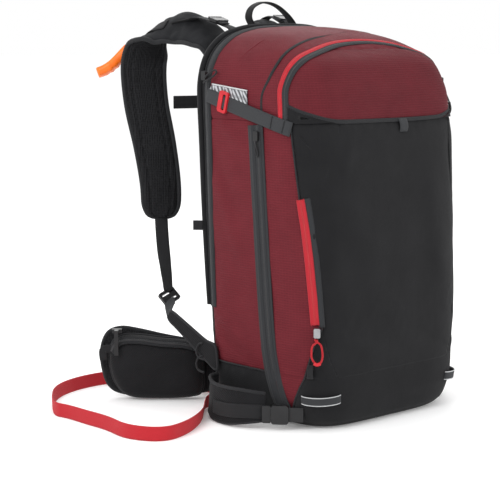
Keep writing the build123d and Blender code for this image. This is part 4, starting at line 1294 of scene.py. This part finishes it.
for side, sign in SIDES:
    body = side + "_wing"
    edge = pad("hip_pad_" + side, PAD_OUTLINE, wing_place(sign, 0.0), 0.0062, 0.0078, MESH, body,
               "back_mesh",
               "hip_wing_" + side, detail=lambda u, v, part: noise.noise(Vector((u * 30, v * 30,
                                                                                 1))) * 0.0008
               - 0.0016 * math.exp(-((v - 0.062) / 0.003) ** 2))
    rim_tube("hip_pad_binding_" + side, edge, wing_place(sign, 0.0), 0.0, 0.003, body)

    edge = pad("hip_pouch_" + side, POCKET_OUTLINE, wing_place(sign, 0.0068), 0.025, 0.0005, PACK_CLOTH,
               body,
               "black_fabric", "hip_pocket_" + side, power=3.4, detail=pocket_folds)
    rim_tube("hip_pouch_piping_" + side, edge, wing_place(sign, 0.0085), 0.0, 0.002, body)
    # the zip along the pouch's shoulder
    zip_place = wing_place(sign, 0.0068)
    run = [(0.006, 0.0895, 0.0215), (0.03, 0.0955, 0.0208), (0.062, 0.0975, 0.0205), (0.095, 0.1015, 0.02),
           (0.118, 0.101, 0.0195), (0.131, 0.0945, 0.0175), (0.1375, 0.084, 0.014)]
    line = spline([zip_place(u, v, w) for u, v, w in run], 0.002)
    out = Vector((sign * 0.682, -0.731, 0))
    face = [(out * 0.72 + Vector((0, 0, 0.7))).normalized()] * len(line)
    ribbon("hip_zip_tape_" + side, line, face, 0.0125, 0.0016, BINDING, body, "charcoal_webbing")
    coil = coil_data([p + n * 0.0007 for p, n in zip(line, face)], face, 0.004, 0.0013)
    new_piece("hip_zip_coil_" + side, coil, DARK_COIL, body)
    stitches("hip_pouch_stitches_" + side,
             [stitch_data(line, face, offset, lift=0.0009) for offset in (-0.0052, 0.0052)], BLACK_CORD,
             body)
    # a grab tab at the zip's end
    tab_points = spline([zip_place(0.137, 0.088, 0.013), zip_place(0.147, 0.087, 0.012),
                         zip_place(0.15, 0.083, 0.0115),
                         zip_place(0.149, 0.071, 0.0115)], 0.0015)
    ribbon("hip_zip_tab_" + side, tab_points, [out] * len(tab_points), 0.012, 0.0022, BLACK_WEB, body,
           "black_webbing")
    # belt webbing along the wing's inner face, and its buckle half
    belt_place = wing_place(sign, -0.0095)
    belt = [belt_place(0.05 + 0.096 * k / 24, 0.071, 0.0008 * math.sin(k * 0.6)) for k in range(25)]
    ribbon("belt_webbing_" + side, belt, [-out] * 25, 0.0375, 0.002, BLACK_WEB, body, "black_webbing",
           columns=14)
    buckle_place = wing_place(sign, -0.015)
    block = [(0.048, 0.052), (0.048, 0.09), (0.06, 0.092), (0.078, 0.089), (0.084, 0.08), (0.084, 0.062),
             (0.078, 0.053), (0.06, 0.05)]
    verts, faces, uvs, _ = pad_data(block, buckle_place, 0.0035, 0.0048, power=5.0, rings=9, count=72)
    welded(new_piece("belt_buckle_half_" + side, (verts, faces, uvs), BLACK_PLASTIC, body,
                     "hip_belt_" + side))


# back pad, lumbar cushion and yoke on the bag's back
def back_place(u, v, w):
    """A place over the bag's back face at (u, v), standing w clear of it."""
    flat = Vector((0, 1, 0))
    return FORM.ray_cast(Vector((u, 0.4, v)), -flat)[0] + flat * (w + 0.0012)


def channels(u, v, part):
    """Sewn channels between the pad's blocks, three upright and four across."""
    groove = 0.0
    for centre in (-0.062, 0.0, 0.062):
        groove -= 0.0042 * math.exp(-((u - centre) / 0.0055) ** 2)
    for level in (0.235, 0.3, 0.365, 0.42):
        groove -= 0.003 * math.exp(-((v - level - 0.25 * abs(u)) / 0.0045) ** 2)
    return (groove + noise.noise(Vector((u * 22, v * 22, 5))) * 0.0012) * max(0.0, 1 - part ** 8)


BACK_PAD_OUTLINE = [
    (-0.095, 0.176), (-0.109, 0.215), (-0.11, 0.32), (-0.107, 0.43), (-0.09, 0.46), (0.0, 0.4645),
    (0.09, 0.46), (0.107, 0.43), (0.11, 0.32), (0.109, 0.215), (0.095, 0.176), (0.0, 0.174),
]
LUMBAR_OUTLINE = [
    (-0.07, 0.046), (-0.088, 0.06), (-0.0905, 0.092), (-0.088, 0.124), (-0.07, 0.138), (0.0, 0.1385),
    (0.07, 0.138), (0.088, 0.124), (0.0905, 0.092), (0.088, 0.06), (0.07, 0.046), (0.0, 0.0455),
]
YOKE_OUTLINE = [
    (-0.1, 0.474), (-0.102, 0.492), (-0.096, 0.507), (0.0, 0.5105), (0.096, 0.507), (0.102, 0.492),
    (0.1, 0.474), (0.0, 0.4715),
]


def lumbar_channels(u, v, part):
    lumps = noise.noise(Vector((u * 24, v * 24, 6))) * 0.0016
    across = -0.004 * math.exp(-((v - 0.092) / 0.004) ** 2)
    upright = -0.003 * math.exp(-(u / 0.005) ** 2)
    return (lumps + across + upright) * max(0, 1 - part ** 8)


edge = pad("back_pad", BACK_PAD_OUTLINE, back_place, 0.0125, 0.0004, MESH, "back", "back_mesh", "back_foam",
           power=4.5, rings=34, count=260, detail=channels)
rim_tube("back_pad_piping", edge, back_place, 0.001, 0.0021, "back")
edge = pad("lumbar_cushion", LUMBAR_OUTLINE, back_place, 0.0165, 0.0004, MESH, "bag", "back_mesh",
           "lumbar_pad",
           power=3.2, rings=20, count=180, detail=lumbar_channels)
rim_tube("lumbar_piping", edge, back_place, 0.001, 0.0021, "bag")
pad("yoke_panel", YOKE_OUTLINE, back_place, 0.006, 0.0004, PACK_CLOTH, "back", "black_fabric",
    "harness_yoke",
    power=6.0, rings=10, count=160)


# anchor wings: cloth triangles that carry the lower webbing, with small gear loops
for side, sign in SIDES:
    outline = [(0.064, 0.062), (0.084, 0.071), (0.106, 0.083), (0.14, 0.104), (0.169, 0.1215),
               (0.167, 0.13),
               (0.16, 0.1335), (0.124, 0.118), (0.088, 0.102), (0.068, 0.097), (0.063, 0.08)]

    def anchor_place(u, v, w, sign=sign):
        return Vector((sign * (0.1592 + w), u, v))

    edge = pad("anchor_wing_" + side, outline, anchor_place, 0.0016, 0.0014, PACK_CLOTH, "bag",
               "black_fabric",
               "anchor_wings" if side == "left" else None, power=5.0, rings=8, count=110,
               detail=lambda u, v, part: noise.noise(Vector((u * 60, v * 60, 2))) * 0.0006)
    rim_tube("anchor_binding_" + side, edge, anchor_place, 0.0, 0.0019, "bag")
    parts = []
    for low in (0.066, 0.085):
        loop = spline([(sign * 0.1605, 0.092, low + 0.012), (sign * 0.1635, 0.098, low + 0.01),
                       (sign * 0.1655, 0.101, low), (sign * 0.164, 0.098, low - 0.009),
                       (sign * 0.16, 0.09, low - 0.012)], 0.0015)
        parts.append(tube_data(loop, 0.0015, 8))
    new_piece("gear_loops_" + side, joined(parts), BLACK_CORD, "bag")

# ---------------------------------------------------------------- ski loops
for side, sign in SIDES:
    route = spline([(sign * x, y, 0) for x, y in ((0.157, 0.066), (0.172, 0.0605), (0.184, 0.05),
                                                  (0.197, 0.03),
                                                  (0.2015, 0.004), (0.2, -0.022), (0.191, -0.043),
                                                  (0.176, -0.0545))], 0.002)
    last = len(route) - 1
    body_line = []
    for i, p in enumerate(route):
        part = i / last
        z = 0.03 + 0.0015 * math.sin(part * 9)
        body_line.append(Vector((p.x, p.y, z)))
    normals = []
    for i, t in enumerate(tangents(body_line)):
        flat = Vector((0, 0, 1)).cross(t).normalized() * sign
        normals.append((flat + Vector((0, 0, 0.05))).normalized())

    def loop_width(part):
        return 0.051 - 0.014 * max(0.0, (part - 0.55) / 0.45) ** 1.5

    def loop_face(part, v, along):
        return 0.0011 * math.exp(-((abs(v) - 0.93) / 0.07) ** 2) + noise.noise(Vector((along * 40, v * 2,
                                                                                       sign))) * 0.0007

    band = ribbon("ski_band_" + side, body_line, normals, loop_width, 0.0034, PACK_CLOTH, None,
                  "black_fabric",
                  "ski_loop_" + side, columns=24, shape=loop_face)
    bend_from, bend_to = (sign * 0.2015, 0.004, 0.03), (sign * 0.185, -0.05, 0.03)
    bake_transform(band)
    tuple(bend_from)
    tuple(bend_to)
    rims = []
    for direction in (-1, 1):
        rims.append(tube_data([p + Vector((0, 0, direction * loop_width(i / last) / 2))
                               for i, p in enumerate(body_line)], 0.0026, 8))
    rim_piece = new_piece("ski_band_rims_" + side, joined(rims), BINDING, None)
    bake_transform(rim_piece)
    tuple(bend_from)
    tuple(bend_to)
    web_from = round(last * 0.42)
    web_line = [p + n * 0.003 + Vector((0, 0, -0.006)) for p, n in zip(body_line, normals)][web_from:]
    band_web = ribbon("ski_band_web_" + side, web_line, normals[web_from:], 0.0195, 0.0018, BLACK_WEB, None,
                      "black_webbing")
    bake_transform(band_web)
    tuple(bend_from)
    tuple(bend_to)
    rows = []
    for offset in (-0.0215, 0.0215):
        rows.append(stitch_data(body_line[4:web_from + 10], normals[4:web_from + 10], offset, lift=0.0022))
    bar = web_line[1] + normals[web_from] * 0.0012
    rows.append(stitch_data([bar + Vector((0, 0, z)) for z in (-0.009, -0.004, 0, 0.004, 0.009)],
                            [normals[web_from]] * 5, 0, pitch=0.0014, length=0.0012))
    stitches("ski_band_stitches_" + side, rows, BLACK_CORD, "bag")

# ---------------------------------------------------------------- zip pulls and cords
# the front zip's red cord loop, on its own joint
pull = spline([(-0.1445, -0.1225, 0.13), (-0.147, -0.1245, 0.127), (-0.152, -0.1215, 0.122),
               (-0.1535, -0.121, 0.114), (-0.153, -0.1215, 0.105), (-0.149, -0.125, 0.0975),
               (-0.144, -0.1285, 0.0985), (-0.1415, -0.13, 0.106), (-0.1415, -0.1295, 0.115),
               (-0.1425, -0.1275, 0.123), (-0.1465, -0.124, 0.1275), (-0.149, -0.1225, 0.131)], 0.0012)
tube("front_pull_cord", pull, 0.0014, RED_CORD, "front_zip_pull", 9, "front_zip_pull")
end = spline([(-0.1515, -0.1235, 0.0985), (-0.148, -0.1262, 0.0965), (-0.144, -0.1288, 0.098)], 0.001)
tube("front_pull_grip", end, 0.0024, RED_PLASTIC, "front_zip_pull", 10)

# black cord pulls on the left back zip and both side zips
back_pull = [(-0.1655, 0.0815, 0.476), (-0.1668, 0.077, 0.479), (-0.165, 0.069, 0.485),
             (-0.1625, 0.062, 0.488),
             (-0.162, 0.06, 0.484), (-0.165, 0.068, 0.477), (-0.167, 0.076, 0.473),
             (-0.1665, 0.082, 0.47)]
tube("back_pull_cord_left", spline(back_pull, 0.0012), 0.0013, BLACK_CORD, "back_zip_slider_left")
side_pull = [(0.1655, -0.0245, 0.396), (0.1672, -0.0255, 0.39), (0.1665, -0.0285, 0.38),
             (0.165, -0.0275, 0.373), (0.1645, -0.025, 0.3735), (0.1655, -0.0235, 0.381),
             (0.166, -0.0235, 0.39), (0.1655, -0.024, 0.3955)]
for side, sign in SIDES:
    tube("side_pull_cord_" + side, spline([(sign * x, y, z) for x, y, z in side_pull], 0.0012), 0.0013,
         BLACK_CORD,
         "side_zip_slider_" + side)

# the trigger handle's orange cord up to the strap
cord_points = spline([(-0.101, 0.333, 0.515), (-0.0985, 0.328, 0.521), (-0.0965, 0.32, 0.524),
                      (-0.096, 0.312, 0.521), (-0.0965, 0.305, 0.512)], 0.0015)
tube("trigger_sleeve", cord_points, 0.0022, BLACK_CORD, "back", 8)
tube("trigger_cord", [p + Vector((-0.003, 0.001, -0.0012)) for p in cord_points[:-3]], 0.0012, ORANGE_WEB,
     "back",
     8)

# the trigger handle: a moulded grip that swells towards its hooked end
grip_line = spline([(-0.1, 0.332, 0.517), (-0.105, 0.338, 0.509), (-0.111, 0.345, 0.499),
                    (-0.118, 0.351, 0.49), (-0.126, 0.359, 0.483), (-0.1335, 0.3665, 0.479)], 0.0012)
grip_way = Vector((0.42, -0.6, -0.66)).normalized()
grip_normals = [(grip_way - t * grip_way.dot(t)).normalized() for t in tangents(grip_line)]


def grip_width(part):
    neck = 0.0165 + 0.0115 * min(1.0, max(0.0, (part - 0.18) / 0.45)) ** 1.3
    return neck * (1 if part < 0.93 else math.sqrt(max(0.12, 1 - ((part - 0.93) / 0.07) ** 2)))


def grip_face(part, v, along):
    window = max(0.0, 1 - ((part - 0.62) / 0.25) ** 2) * (1 - v * v)
    return 0.0026 * (1 - v * v) + 0.0008 * math.sin(part * 40) * window


ribbon("trigger_grip", grip_line, grip_normals, grip_width, 0.0125, ORANGE_PLASTIC, "trigger_handle",
       "orange_plastic", "trigger_handle", columns=20, shape=grip_face)

# a small black tab on the back panel's left edge
tab_line = spline([(-0.156, 0.096, 0.267), (-0.159, 0.1, 0.267), (-0.1625, 0.104, 0.267),
                   (-0.165, 0.107, 0.267)], 0.0015)
ribbon("back_edge_tab", tab_line, [Vector((-0.7, -0.7, 0)).normalized()] * len(tab_line), 0.014, 0.0022,
       BLACK_WEB,
       "back", "black_webbing")

# the lid zip's black cord pull, with a thick grip round its lower half
lid_pull = spline([(0.1655, -0.068, 0.469), (0.1695, -0.071, 0.462), (0.174, -0.073, 0.45),
                   (0.179, -0.075, 0.438), (0.1805, -0.076, 0.428), (0.178, -0.0755, 0.4215),
                   (0.1735, -0.074, 0.4225), (0.171, -0.0725, 0.434), (0.169, -0.0705, 0.45),
                   (0.1665, -0.0685, 0.466)], 0.0012)
tube("lid_pull_cord", lid_pull, 0.0012, BLACK_CORD, "lid_zip_slider", 9)
lid_grip = spline([(0.179, -0.075, 0.438), (0.1805, -0.076, 0.428), (0.178, -0.0755, 0.4215),
                   (0.1735, -0.074, 0.4225), (0.171, -0.0725, 0.434)], 0.0012)
tube("lid_pull_grip", lid_grip, 0.0021, BLACK_PLASTIC, "lid_zip_slider", 10)

# ---------------------------------------------------------------- carried-over CAD pieces
record = frame["record"]
NODE_SLOTS = {part["node"]: part["material_slot"] for part in record["subparts"]}
BEVELLED = ("plastic", "metal", "alloy")
for node_name, node in frame["nodes"].items():
    finish_material = SLOT_MATERIALS[NODE_SLOTS[node_name]]
    node.data.materials.clear()
    node.data.materials.append(finish_material)
    if not node.hide_render and any(word in finish_material.name for word in BEVELLED):
        bevel = node.modifiers.new("edges", "BEVEL")
        bevel.width = 0.0006
        bevel.segments = 2
        bevel.limit_method = "ANGLE"

# ---------------------------------------------------------------- floor and light
bpy.context.scene.view_settings.view_transform = "Standard"


def plain(name, colour, rough):
    made = bpy.data.materials.new(name)
    made.use_nodes = True
    made.node_tree.nodes["Principled BSDF"].inputs["Base Color"].default_value = (*colour, 1)
    made.node_tree.nodes["Principled BSDF"].inputs["Roughness"].default_value = rough
    return made


floor_mesh = bpy.data.meshes.new("floor")
floor_mesh.from_pydata([(-30, -30, 0), (30, -30, 0), (30, 30, 0), (-30, 30, 0)], [], [(0, 1, 2, 3)])
floor_look = plain("pale_floor", (0.92, 0.92, 0.92), 0.9)
floor_look.node_tree.nodes["Principled BSDF"].inputs["Emission Color"].default_value = (1, 1, 1, 1)
floor_look.node_tree.nodes["Principled BSDF"].inputs["Emission Strength"].default_value = 0.12
floor_mesh.materials.append(floor_look)
floor = bpy.data.objects.new("floor", floor_mesh)
bpy.context.scene.collection.objects.link(floor)

world = bpy.data.worlds.new("world")
bpy.context.scene.world = world
world.use_nodes = True
world.node_tree.nodes["Background"].inputs["Color"].default_value = (1, 1, 1, 1)
world.node_tree.nodes["Background"].inputs["Strength"].default_value = 1.0


def area_light(name, place, target, size, power):
    data = bpy.data.lights.new(name, "AREA")
    data.shape = "RECTANGLE"
    data.size, data.size_y = size
    data.energy = power
    light = bpy.data.objects.new(name, data)
    light.location = place
    light.rotation_euler = (Vector(target) - Vector(place)).to_track_quat("-Z", "Y").to_euler()
    bpy.context.scene.collection.objects.link(light)


area_light("key", (-2.2, -0.3, 1.7), (-0.1, 0, 0.3), (1.2, 1.2), 26)
area_light("fill", (0.9, -2.4, 1.3), (0, 0, 0.3), (1.6, 1.6), 14)
area_light("top", (0.1, 0.4, 2.4), (0, 0, 0.4), (1.6, 1.6), 13)
area_light("rim", (1.6, 1.8, 1.5), (0, 0, 0.3), (1.2, 1.2), 14)
